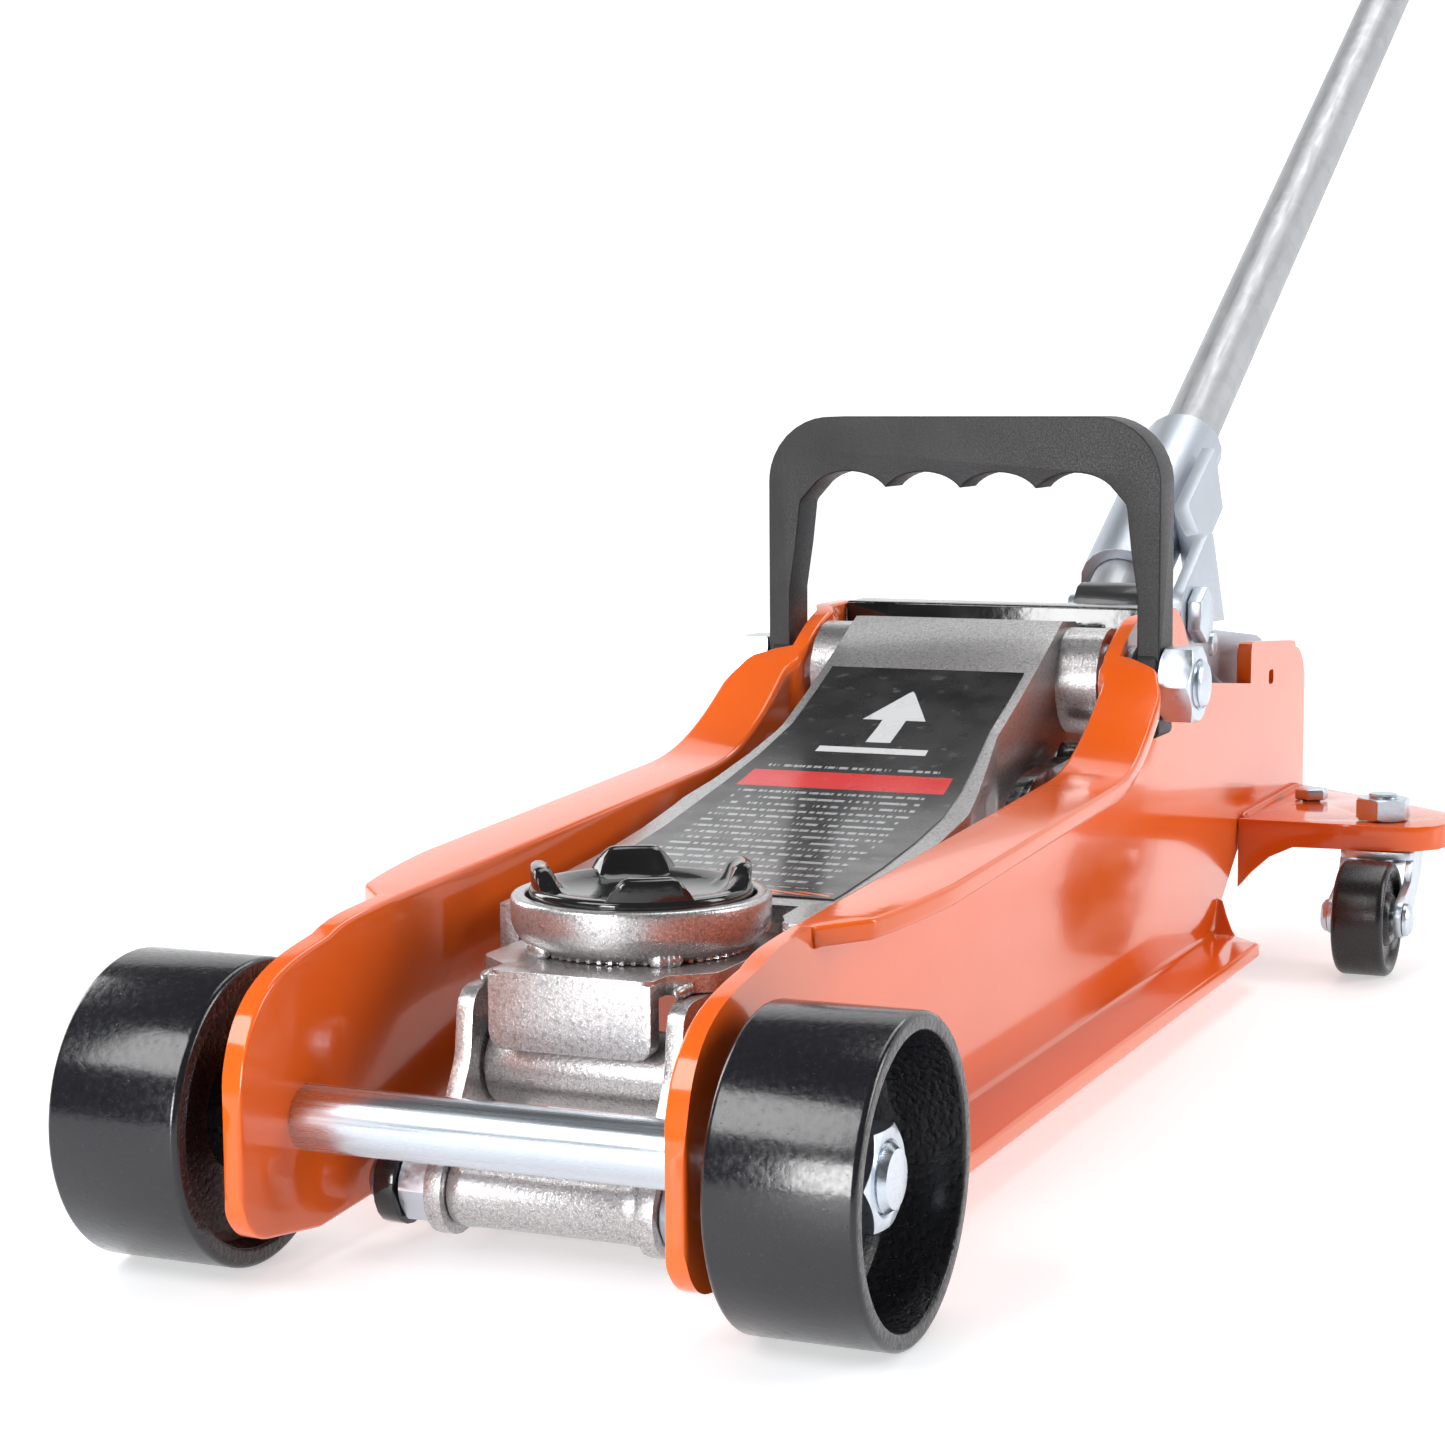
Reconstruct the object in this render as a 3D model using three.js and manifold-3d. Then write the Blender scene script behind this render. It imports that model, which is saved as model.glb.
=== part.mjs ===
// Low-profile hydraulic floor jack. Millimetres, +Z up, front faces -Y, X = 0 is the middle plane.
// Everything is laid out from the point on the floor under the front axle, and the finished
// assembly is moved at the end so that its origin is the middle of its footprint.
import * as THREE from "three";
import { mergeVertices } from "three/addons/utils/BufferGeometryUtils.js";
import Module from "manifold-3d";

// ---------------------------------------------------------------- driving dimensions
const gap = 0.3; // between pieces that touch
const fit = 0.35; // radial clearance of a turning or sliding fit
const sides = 20; // facets of a large round piece
const smallSides = 12; // facets of a small round piece

const wheelRadius = 35;
const wheelWidth = 33.5;
const wheelRim = 4.5;
const wheelHub = 13;
const wheelWeb = 9;
const axleRadius = 7.5;
const nutHeight = 8;

const frameInner = 50; // middle plane to the inner face of a side plate
const plateThick = 5;
const noseFront = -27;
const plateBottom = 9.5;
const plateRear = 531;
const railHeight = 78; // top edge just behind the nose
const railRise = 8.5; // how much the top edge climbs up to the hump
const humpTop = 126.5;
const topFlange = 16;
const bottomFlange = 18;

const pivot = { y: 308.5, z: 106.6, shaft: 11, tube: 16, thread: 7, nut: 12.5 };
const armFront = { y: 45, z: 40.7, pin: 6.5, tube: 9.8 };
const linkFront = { y: 25, z: 15.5, pin: 6, ear: 11 };
const crosshead = { radius: 52, angle: 36, pin: 7, boss: 12 };

const armWide = 42;
const armNarrow = 33;
const armWall = 5;
const linkInner = 37;
const linkThick = 5;
const linkHeight = 11;

const cupCentre = 71;
const cupRadius = 31;
const cupRim = 78;
const cupRecess = cupRadius - 3.6;
const bracketInner = 24.3;
const bracketPlate = 4.2;
const bracketTop = 60.3;
const bracketSheet = 4.5;
const saddleRadius = cupRecess - 0.8;
const saddleTop = 85;
const saddleStem = 8;
const lugTurn = 29.5; // the lugs rest at this angle from the axes

const unitAxis = 60; // height of the ram
const ramRadius = 12;
const cylinderRadius = ramRadius + 9;
const blockFront = 396;
const blockRear = 497;
const blockHalf = 36;
const blockBottom = 28;
const blockTop = 86;
const plunger = { y: 436, radius: 7, bottom: 50 };

const yokePivot = { y: 410, z: 119, bolt: 6 };
const handleTilt = 29.3; // lowest position of the handle, degrees above level
const handleDrop = 29.4; // pivot bolt above the handle's axis, measured square to it
const tubeRadius = 10.5;
const tubeWall = 2;
const tubeStart = 30;
const tubeJoint = 600;
const handleEnd = 790;
const gripStart = handleEnd - 135;
const gripRadius = tubeRadius + 4.5;
const socketStart = 62;
const socketEnd = 157;
const socketRadius = tubeRadius + 4.5;
const cheekInner = 40;
const cheekThick = 4;
const rollerRadius = 6;
const rollerArm = 28;
const rollerDrop = 25; // roller below the level of the pivot bolt at rest, degrees
const rollerHalf = 16;
const rollerPin = 4;
const tailEnd = 511;
const lugInner = 6; // the yoke's bolt is held in a lug beside the handle
const lugOuter = 30;

const carryHalf = frameInner + plateThick + 0.6; // middle plane to the inside of a leg
const carryThick = 7;
const carryTop = 186;
const carryDepth = 15;
const carryBoss = 11.5;

const casterX = frameInner + plateThick + 46;
const casterY = 446;
const casterTrail = 24;
const casterRadius = 19;
const casterWidth = 17;
const wingTop = 48.5;
const wingThick = 4.5;
const wingFront = 430;
const wingOut = casterX + 22;

// ---------------------------------------------------------------- solids
const wasm = await Module();
wasm.setup();

const turn = THREE.MathUtils.degToRad;
const up = new THREE.Vector3(0, 0, 1);
const right = new THREE.Vector3(1, 0, 0);
const back = new THREE.Vector3(0, 1, 0);

// A closed geometry as a solid, placed by a matrix.
function solid(geometry, place = new THREE.Matrix4()) {
  const bare = geometry.clone();
  bare.deleteAttribute("normal");
  bare.deleteAttribute("uv");
  bare.applyMatrix4(place);
  const merged = mergeVertices(bare, 1e-3);
  return new wasm.Manifold(
    new wasm.Mesh({
      numProp: 3,
      vertProperties: merged.attributes.position.array,
      triVerts: new Uint32Array(merged.index.array),
    }),
  );
}

const join = (...pieces) => pieces.reduce((a, b) => a.add(b));
const cut = (base, ...tools) => tools.reduce((a, b) => a.subtract(b), base);

function frameAt(x, y, z, along, across, out) {
  return new THREE.Matrix4().makeBasis(along, across, out).setPosition(x, y, z);
}

function extruded(points, depth, place) {
  const shape = new THREE.Shape(points);
  return solid(new THREE.ExtrudeGeometry(shape, { depth, bevelEnabled: false }), place);
}

// A side view outline [y, z] between two X planes, and its mirror image on the other side.
const slab = (points, x0, x1) => extruded(points, x1 - x0, frameAt(x0, 0, 0, back, up, right));
// A top view outline [x, y] between two heights.
const plan = (points, z0, z1) => extruded(points, z1 - z0, frameAt(0, 0, z0, right, back, up));
// A front view outline [x, z] between two Y planes.
const face = (points, y0, y1) =>
  extruded(points, y1 - y0, frameAt(0, y1, 0, right, up, back.clone().negate()));

function block(x0, x1, y0, y1, z0, z1) {
  const box = new THREE.BoxGeometry(x1 - x0, y1 - y0, z1 - z0);
  const place = new THREE.Matrix4().setPosition((x0 + x1) / 2, (y0 + y1) / 2, (z0 + z1) / 2);
  return solid(box, place);
}

// A round bar along X, Y or Z.
function bar(axis, radius, from, to, u, v, facets = sides) {
  const rod = new THREE.CylinderGeometry(radius, radius, to - from, facets);
  const mid = (from + to) / 2;
  const place = new THREE.Matrix4();
  if (axis === "x") place.makeRotationZ(Math.PI / 2).setPosition(mid, u, v);
  if (axis === "y") place.setPosition(u, mid, v);
  if (axis === "z") place.makeRotationX(Math.PI / 2).setPosition(u, v, mid);
  return solid(rod, place);
}

// A turned piece: profile points [radius, height] about an upright axis.
function turned(points, facets, place = new THREE.Matrix4()) {
  const profile = points.map(([r, h]) => new THREE.Vector2(r, h));
  const stand = new THREE.Matrix4().makeRotationX(Math.PI / 2);
  return solid(new THREE.LatheGeometry(profile, facets), place.clone().multiply(stand));
}

// A closed outline from corners [a, b, radius], with each radius drawn as an arc.
function outline(corners, steps = 3) {
  const points = [];
  corners.forEach(([a, b, radius = 0], i) => {
    const here = new THREE.Vector2(a, b);
    if (!radius) {
      points.push(here);
      return;
    }
    const [pa, pb] = corners[(i + corners.length - 1) % corners.length];
    const [na, nb] = corners[(i + 1) % corners.length];
    const before = new THREE.Vector2(pa, pb).sub(here).normalize();
    const after = new THREE.Vector2(na, nb).sub(here).normalize();
    const half = Math.acos(THREE.MathUtils.clamp(before.dot(after), -1, 1)) / 2;
    const middle = before.clone().add(after).normalize();
    const centre = here.clone().addScaledVector(middle, radius / Math.sin(half));
    const reach = radius / Math.tan(half);
    const start = here.clone().addScaledVector(before, reach).sub(centre);
    const end = here.clone().addScaledVector(after, reach).sub(centre);
    let sweep = end.angle() - start.angle();
    if (sweep > Math.PI) sweep -= 2 * Math.PI;
    if (sweep < -Math.PI) sweep += 2 * Math.PI;
    for (let k = 0; k <= steps; k++) {
      const spoke = start.clone().rotateAround(new THREE.Vector2(), (sweep * k) / steps);
      points.push(centre.clone().add(spoke));
    }
  });
  return points;
}

const circle = (a, b, radius, facets) =>
  Array.from({ length: facets }, (_, i) => {
    const angle = (2 * Math.PI * i) / facets;
    return new THREE.Vector2(a + radius * Math.cos(angle), b + radius * Math.sin(angle));
  });

const curve = (a, b, c, d, steps) =>
  new THREE.CubicBezierCurve(
    new THREE.Vector2(...a),
    new THREE.Vector2(...b),
    new THREE.Vector2(...c),
    new THREE.Vector2(...d),
  ).getPoints(steps);

const bothSides = [
  ["left", -1],
  ["right", 1],
];
// The same solid on the other side of the middle plane.
const mirrored = (piece, side) => (side < 0 ? piece.mirror([1, 0, 0]) : piece);

const hexagon = (axis, radius, from, to, u, v) => bar(axis, radius, from, to, u, v, 6);

// ---------------------------------------------------------------- materials and assembly
const finish = (color, roughness, metalness) =>
  new THREE.MeshStandardMaterial({ color, roughness, metalness });
const paint = finish(0xf05a1a, 0.25, 0.1);
const blackPaint = finish(0x101112, 0.35, 0.1);
const zinc = finish(0xc3c8cc, 0.3, 1);
const hammertone = finish(0xa9a7a6, 0.5, 0.6);
const darkSteel = finish(0x2b2c2e, 0.5, 0.7);
const plastic = finish(0x17181a, 0.6, 0);

const jack = new THREE.Group();

function add(name, piece, material) {
  const mesh = piece.getMesh();
  const geometry = new THREE.BufferGeometry();
  geometry.setAttribute("position", new THREE.BufferAttribute(mesh.vertProperties, 3));
  geometry.setIndex(new THREE.BufferAttribute(mesh.triVerts, 1));
  const node = new THREE.Mesh(geometry, material);
  node.name = name;
  jack.add(node);
}

// ---------------------------------------------------------------- side plates
const frameOuter = frameInner + plateThick;
const railStart = { y: 12, z: railHeight - 4 };
const railEnd = { y: 228, z: railHeight + railRise };
const humpRear = 344;
const scoopZ = 93;
const scoopRear = 447;
const tailTop = 107;
const legFront = pivot.y - pivot.nut - 1;

// The top edge from the nose to the back of the hump, front first.
function topEdge() {
  const nose = curve(
    [noseFront, wheelRadius + 3],
    [noseFront, railStart.z - 6],
    [railStart.y - 20, railStart.z - 3],
    [railStart.y, railStart.z],
    6,
  );
  const lead = curve(
    [railStart.y, railStart.z],
    [railStart.y + 8, railStart.z + 3],
    [railStart.y + 14, railHeight - 1],
    [railStart.y + 30, railHeight],
    3,
  );
  const sweep = curve(
    [railEnd.y, railEnd.z],
    [railEnd.y + 44, railEnd.z + 1.5],
    [railEnd.y + 66, humpTop],
    [railEnd.y + 98, humpTop],
    9,
  );
  return [...nose, ...lead.slice(1), ...sweep, new THREE.Vector2(humpRear, humpTop)];
}

// A strip under the top edge, as thick as the plate, for the part of it behind y = from.
function edgeStrip(points, from) {
  const run = points.filter((p) => p.x >= from);
  const under = run.map((p, i) => {
    const a = run[Math.max(i - 1, 0)];
    const b = run[Math.min(i + 1, run.length - 1)];
    const normal = new THREE.Vector2(b.y - a.y, a.x - b.x).normalize();
    return p.clone().addScaledVector(normal, plateThick);
  });
  return [...run, ...under.reverse()].reverse();
}

function sidePlate() {
  const top = topEdge();
  const scoop = curve(
    [humpRear, humpTop],
    [humpRear + 18, humpTop - 2],
    [humpRear + 18, scoopZ + 12],
    [humpRear + 42, scoopZ + 6],
    6,
  );
  const rear = outline([
    [scoopRear, scoopZ],
    [scoopRear, tailTop, 3],
    [505, 103, 12],
    [plateRear, 101, 20],
    [plateRear, wingTop - wingThick - 2],
    [437, wingTop - wingThick - 2, 6],
    [404, 20, 8],
    [398, plateBottom],
    [28, plateBottom, 8],
    [6, 8, 6],
    [noseFront, 12, 13],
    [noseFront, wheelRadius + 3],
  ], 4);
  const loop = [...top.slice(1), ...scoop.slice(1), ...rear];
  const web = slab(loop.reverse(), frameInner, frameOuter);

  const strip = slab(edgeStrip(top, 30), frameOuter - 1, frameOuter + topFlange);
  const slant = plan(
    outline([
      [frameOuter - 1, 42],
      [frameOuter + topFlange - 5, 42 + 12, 4],
      [frameOuter + topFlange, 42 + 40, 10],
      [frameOuter + topFlange, 240, 60],
      [frameOuter + topFlange - 6, legFront - 6, 6],
      [frameOuter - 1, legFront],
    ], 4),
    railHeight - 20,
    humpTop + 5,
  );
  const foot = plan(
    [
      new THREE.Vector2(frameOuter - 1, 44),
      new THREE.Vector2(frameOuter + bottomFlange, 60),
      new THREE.Vector2(frameOuter + bottomFlange, 406),
      new THREE.Vector2(frameOuter - 1, 388),
    ],
    plateBottom,
    plateBottom + plateThick,
  );
  const fillet = face(
    outline([
      [frameOuter - 1, plateBottom + 1],
      [frameOuter + 9, plateBottom + plateThick],
      [frameOuter + 1, plateBottom + plateThick + 3, 3],
      [frameOuter - 1, plateBottom + plateThick + 13],
    ], 3),
    52,
    390,
  );
  const boss = turned(
    [
      [0, 0],
      [23, 0],
      [20, 4],
      [0, 4],
    ],
    sides,
    frameAt(frameInner + 1, pivot.y, pivot.z, up, back, right.clone().negate()),
  );
  return cut(
    join(web, strip.intersect(slant), foot, fillet, boss),
    bar("x", axleRadius + gap, frameInner - 9, frameOuter + 9, 0, wheelRadius),
    bar("x", pivot.shaft + gap, frameInner - 9, frameOuter + 9, pivot.y, pivot.z),
    block(frameInner - 9, frameOuter + 9, 473, 480, 90, 95),
  );
}

const plate = sidePlate();
for (const [hand, side] of bothSides) {
  add("side_plate_" + hand, mirrored(plate, side), paint);
}

// ---------------------------------------------------------------- front axle and wheels
const wheelInner = frameOuter + 6.3;
const wheelOuter = wheelInner + wheelWidth;
const webInner = wheelInner + 7;
const webOuter = webInner + wheelWeb;
const hubOuter = webOuter + 3;
const axleEnd = hubOuter + gap + nutHeight + 2.5;

add("front_axle", bar("x", axleRadius, -axleEnd, axleEnd, 0, wheelRadius), zinc);

function frontWheel() {
  const inside = wheelRadius - wheelRim;
  const across = [
    [axleRadius + fit, wheelInner],
    [wheelHub, wheelInner],
    [wheelHub, webInner],
    [inside - 2, webInner],
    [inside, wheelInner + 1],
    [inside + 1.5, wheelInner],
    [wheelRadius - 1, wheelInner],
    [wheelRadius, wheelInner + 1],
    [wheelRadius, wheelOuter - 1],
    [wheelRadius - 1, wheelOuter],
    [inside + 1, wheelOuter],
    [inside - 2, webOuter],
    [wheelHub, webOuter],
    [wheelHub, hubOuter],
    [axleRadius + fit, hubOuter],
    [axleRadius + fit, wheelInner],
  ];
  return turned(across, 32, frameAt(0, 0, wheelRadius, back, up, right));
}

const wheel = frontWheel();
const axleNut = cut(
  hexagon("x", 12, hubOuter + gap, hubOuter + gap + nutHeight, 0, wheelRadius),
  bar("x", axleRadius + 0.1, hubOuter, axleEnd + 5, 0, wheelRadius),
);
for (const [hand, side] of bothSides) {
  add("front_wheel_" + hand, mirrored(wheel, side), blackPaint);
  add("axle_nut_" + hand, mirrored(axleNut, side), zinc);
}

// ---------------------------------------------------------------- main pivot and cover
const nutStart = carryHalf + carryThick + gap;
const pivotNutHeight = 10;
const shaftEnd = nutStart + pivotNutHeight + 3;
add(
  "pivot_shaft",
  join(
    bar("x", pivot.shaft, -frameOuter, frameOuter, pivot.y, pivot.z),
    bar("x", pivot.thread, -shaftEnd, shaftEnd, pivot.y, pivot.z),
  ),
  zinc,
);
const pivotNut = cut(
  hexagon("x", pivot.nut, nutStart, nutStart + pivotNutHeight, pivot.y, pivot.z),
  bar("x", pivot.thread + 0.1, nutStart - 1, shaftEnd + 5, pivot.y, pivot.z),
);
for (const [hand, side] of bothSides) {
  add("pivot_nut_" + hand, mirrored(pivotNut, side), zinc);
}

const coverFront = pivot.y + 26;
const coverHalf = frameInner - gap;
add(
  "cover_plate",
  join(
    block(-coverHalf, coverHalf, coverFront, coverFront + 2.5, 92, humpTop + 0.3),
    block(-coverHalf, coverHalf, coverFront, coverFront + 14, humpTop - 2.2, humpTop + 0.3),
  ),
  blackPaint,
);

// ---------------------------------------------------------------- lift arm
const crossY = pivot.y + crosshead.radius * Math.sin(turn(crosshead.angle));
const crossZ = pivot.z - crosshead.radius * Math.cos(turn(crosshead.angle));
const armStart = 79;
const armTubeHalf = frameInner - 4.4;
const leverInner = 17.5;
const leverOuter = bracketInner - 0.7;
const bracketRoomHalf = bracketInner + bracketPlate + 1.5;

// The top surface rises slowly and then steeply to the pivot.
function armTop(drop = 0) {
  const high = pivot.z + 18.4 - drop;
  return curve([armStart, 71 - drop], [190, 76 - drop], [225, 88 - drop], [300, high], 10);
}

// Side view of the arm.
function armSide(drop) {
  const back = drop
    ? [
        new THREE.Vector2(380, pivot.z + 18.4 - drop),
        new THREE.Vector2(380, 20),
        new THREE.Vector2(60, 20),
      ]
    : [
        ...circle(pivot.y, pivot.z, pivot.tube + 2, 24).slice(0, 6).reverse(),
        ...circle(crossY, crossZ, crosshead.boss, 24).slice(16).reverse(),
        ...circle(crossY, crossZ, crosshead.boss, 24).slice(12, 16).reverse(),
        new THREE.Vector2(288, 76),
        new THREE.Vector2(215, 71),
        new THREE.Vector2(150, 60),
        new THREE.Vector2(armStart, 55),
      ];
  return [...armTop(drop), ...back].reverse();
}

function armPlan(inset) {
  const wide = armWide - inset;
  const narrow = armNarrow - inset;
  const half = [
    [wide, armStart - inset],
    [wide, 188, 40],
    [narrow, 238, 40],
    [narrow, 380],
  ];
  const mirror = half.map(([x, y, r]) => [-x, y, r]).reverse();
  return outline([...half, ...mirror], 5);
}

function liftArm() {
  const shell = slab(armSide(0), -armWide - 5, armWide + 5).intersect(plan(armPlan(0), 0, 200));
  const hollow = slab(armSide(armWall), -armWide, armWide).intersect(plan(armPlan(armWall), -50, 250));
  const cupRoom = bar("z", cupRadius + 3, 50, 100, 0, cupCentre);
  const bracketRoom = bar("x", 60, -bracketRoomHalf, bracketRoomHalf, armFront.y, armFront.z, 48);
  const sheet = cut(shell, hollow, cupRoom, bracketRoom);
  const lever = outline([
    [armFront.y, armFront.z - armFront.tube],
    [112, 42],
    [160, 58],
    [160, 74],
    [112, 66.5],
    [98, 58.5],
    [armFront.y, armFront.z + armFront.tube],
  ]);
  const levers = bothSides.map(([, side]) => mirrored(slab(lever, leverInner, leverOuter), side));
  const below = [new THREE.Vector2(300, 20), new THREE.Vector2(20, 20)];
  const skin = slab([...armTop(), ...below].reverse(), -leverOuter - 1, leverOuter + 1);
  const nose = bar("x", armFront.tube, -leverOuter, leverOuter, armFront.y, armFront.z);
  const pivotTube = bar("x", pivot.tube, -armTubeHalf, armTubeHalf, pivot.y, pivot.z);
  return cut(
    join(sheet, ...levers.map((piece) => piece.intersect(skin)), nose, pivotTube),
    bar("x", armFront.pin + fit, -60, 60, armFront.y, armFront.z),
    bar("x", pivot.shaft + fit, -60, 60, pivot.y, pivot.z),
    bar("x", crosshead.pin + gap, -60, 60, crossY, crossZ),
  );
}

add("lift_arm", liftArm(), hammertone);

const frontPinEnd = bracketInner + bracketPlate + 4.5;
add(
  "arm_front_pin",
  cut(
    bar("x", armFront.pin, -frontPinEnd, frontPinEnd, armFront.y, armFront.z),
    block(-frontPinEnd - 1, -frontPinEnd + 1, armFront.y - 1, armFront.y + 1, 0, 100),
  ),
  zinc,
);

const crossEnd = armNarrow + 2;
add("crosshead_pin", bar("x", crosshead.pin, -crossEnd, crossEnd, crossY, crossZ), zinc);

// ---------------------------------------------------------------- saddle bracket
function bracketSide() {
  const edge = outline([
    [linkFront.y - 10.5, linkFront.z + 2, 4],
    [30, 44, 12],
    [32, bracketTop - gap, 6],
    [deckRear - 1, bracketTop - gap],
    [deckRear - 1, 52, 4],
    [62, 27, 10],
    [linkFront.y + 9, linkFront.z - 7, 4],
    [linkFront.y, linkFront.z - 4],
  ]);
  return cut(
    join(
      slab(edge, bracketInner, bracketInner + bracketPlate),
      bar("x", linkFront.ear, bracketInner, bracketInner + bracketPlate, linkFront.y, linkFront.z),
    ),
    bar("x", armFront.pin + fit, 0, 60, armFront.y, armFront.z),
    bar("x", linkFront.pin + gap, 0, 60, linkFront.y, linkFront.z),
  );
}

const sheetTop = bracketTop + bracketSheet;
const apronFront = 31.5;
const apronBottom = 46.5;
const apronHalf = 20.5;
const deckHalf = bracketInner + bracketPlate + 1.5;
const deckRear = cupCentre + 27;
function bracketCrown() {
    const deck = plan(
    outline([
      [-apronHalf, apronFront, 3],
      [apronHalf, apronFront, 3],
      [apronHalf, apronFront + 8],
      [deckHalf, apronFront + 16, 5],
      [deckHalf, deckRear, 8],
      [-deckHalf, deckRear, 8],
      [-deckHalf, apronFront + 16, 5],
      [-apronHalf, apronFront + 8],
    ]),
    bracketTop,
    sheetTop,
  );
  const apron = face(
    outline([
      [-apronHalf, apronBottom, 4],
      [apronHalf, apronBottom, 4],
      [apronHalf, sheetTop - 1],
      [-apronHalf, sheetTop - 1],
    ]),
    apronFront,
    apronFront + bracketSheet,
  );
  return cut(join(deck, apron), bar("z", saddleStem + fit, 50, 70, 0, cupCentre));
}

function saddleCup() {
  const floor = sheetTop + gap;
  return turned(
    [
      [saddleStem + fit, floor],
      [cupRadius - 8, floor],
      [cupRadius - 3, floor + 2.2],
      [cupRadius - 0.6, floor + 6],
      [cupRadius, floor + 10],
      [cupRadius, cupRim - 0.8],
      [cupRadius - 0.8, cupRim],
      [cupRecess, cupRim],
      [cupRecess, floor + 8],
      [saddleStem + fit, floor + 8],
      [saddleStem + fit, floor],
    ],
    28,
    new THREE.Matrix4().setPosition(0, cupCentre, 0),
  );
}

for (const [hand, side] of bothSides) {
  add("bracket_plate_" + hand, mirrored(bracketSide(), side), hammertone);
}
add("bracket_crown", bracketCrown(), hammertone);
add("saddle_cup", saddleCup(), hammertone);
const spacerHalf = bracketInner - gap;
add(
  "lower_tube",
  cut(
    bar("x", 9, -spacerHalf, spacerHalf, linkFront.y, linkFront.z),
    bar("x", linkFront.pin + gap, -60, 60, linkFront.y, linkFront.z),
  ),
  hammertone,
);
const linkOuter = linkInner + linkThick;
const rodEnd = linkOuter + 4.5;
add("lower_rod", bar("x", linkFront.pin, -rodEnd, rodEnd, linkFront.y, linkFront.z), zinc);

// ---------------------------------------------------------------- saddle
function saddlePad() {
  const seat = sheetTop + gap + 8 + gap;
  const dish = turned(
    [
      [0, sheetTop - bracketSheet - 2],
      [saddleStem, sheetTop - bracketSheet - 2],
      [saddleStem, seat],
      [saddleRadius - 2, seat],
      [saddleRadius, seat + 2],
      [saddleRadius, seat + 6.5],
      [saddleRadius - 4, seat + 6.5],
      [saddleRadius - 8, seat + 4],
      [0, seat + 4],
    ],
    24,
    new THREE.Matrix4().setPosition(0, cupCentre, 0),
  );
  const lug = (angle) => {
    const place = new THREE.Matrix4()
      .makeRotationZ(turn(angle))
      .setPosition(0, cupCentre, seat + 5);
    const shape = outline([
      [-9, 0],
      [9, 0],
      [7, saddleTop - seat - 5, 3],
      [-7, saddleTop - seat - 5, 3],
    ]);
    const stand = frameAt(0, -saddleRadius + 4.6, 0, right, up, back.clone().negate());
    return extruded(shape, 4.5, place.multiply(stand));
  };
  return join(dish, ...[0, 90, 180, 270].map((quarter) => lug(quarter + lugTurn)));
}

add("saddle", saddlePad(), blackPaint);

// ---------------------------------------------------------------- link bars
const linkRear = {
  y: pivot.y + linkFront.y - armFront.y,
  z: pivot.z + linkFront.z - armFront.z,
  pin: 5,
  eye: 9,
};

function linkBar() {
  const half = linkHeight / 2;
  const rise = (linkRear.z - linkFront.z) / (linkRear.y - linkFront.y);
  const at = (y, lift) => linkFront.z + (y - linkFront.y) * rise + lift;
  const edge = outline([
    [linkFront.y, at(linkFront.y, -half)],
    [212, at(212, -half), 30],
    [246, at(246, 9 - half), 24],
    [linkRear.y, at(linkRear.y, -half)],
    [linkRear.y, at(linkRear.y, half)],
    [246, at(246, 9 + half), 24],
    [212, at(212, half), 30],
    [linkFront.y, at(linkFront.y, half)],
  ]);
  return cut(
    join(
      slab(edge, linkInner, linkOuter),
      bar("x", 10, linkInner, linkOuter, linkFront.y, linkFront.z),
      bar("x", linkRear.eye, linkInner, linkOuter, linkRear.y, linkRear.z),
    ),
    bar("x", linkFront.pin + fit, 0, 60, linkFront.y, linkFront.z),
    bar("x", linkRear.pin + fit, 0, 60, linkRear.y, linkRear.z),
  );
}

const spacerNut = cut(
  hexagon("x", 9, bracketInner + bracketPlate + gap, linkInner - gap, linkFront.y, linkFront.z),
  bar("x", linkFront.pin + 0.1, 0, 60, linkFront.y, linkFront.z),
);
const anchorPin = join(
  bar("x", linkRear.pin, linkInner - 0.5, frameInner - gap, linkRear.y, linkRear.z),
  bar("x", linkRear.eye - 1, linkOuter + gap, frameInner - gap, linkRear.y, linkRear.z),
  bar("x", linkRear.pin + 2, linkInner - 2, linkInner - gap, linkRear.y, linkRear.z),
);
for (const [hand, side] of bothSides) {
  add("link_bar_" + hand, mirrored(linkBar(), side), blackPaint);
  add("link_nut_" + hand, mirrored(spacerNut, side), zinc);
  add("link_anchor_" + hand, mirrored(anchorPin, side), zinc);
}

// ---------------------------------------------------------------- hydraulic unit
const cylinderFront = 358;
const ramRear = 424;
const headBottom = 27;
const headTop = 78;
const headHalf = 20;
const slotHalf = crosshead.pin + 1.8;
const springX = 12;
const springZ = 33;
const plug = { x: -24, y: blockRear - 27, radius: 5 };
const tieBar = { y: blockRear + 20, z: 62, radius: 7 };
const trunnionPin = { y: blockRear - 42, radius: 8 };
const valve = { radius: 6, head: 9, z: unitAxis - 4 };

add(
  "pump_block",
  cut(
    join(
      block(-blockHalf, blockHalf, blockFront, blockRear, blockBottom, blockTop),
      slab(
        outline([
          [yokePivot.y - 13, blockTop - 2],
          [yokePivot.y + 13, blockTop - 2],
          [yokePivot.y + 10, yokePivot.z + 10, 9],
          [yokePivot.y - 10, yokePivot.z + 10, 9],
        ]),
        lugInner,
        lugOuter,
      ),
      bar("z", plunger.radius + 5, blockTop - 2, blockTop + 3, 0, plunger.y),
    ),
    bar("y", ramRadius + fit, blockFront - 5, ramRear + 3, 0, unitAxis),
    bar("z", plunger.radius + fit, plunger.bottom - 2, blockTop + 9, 0, plunger.y),
    bar("x", yokePivot.bolt + gap, -50, 50, yokePivot.y, yokePivot.z),
    bar("y", valve.radius + fit, blockRear - 22, blockRear + 5, 0, valve.z),
    bar("z", plug.radius + gap, blockTop - 8, blockTop + 5, plug.x, plug.y, smallSides),
  ),
  darkSteel,
);
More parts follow.
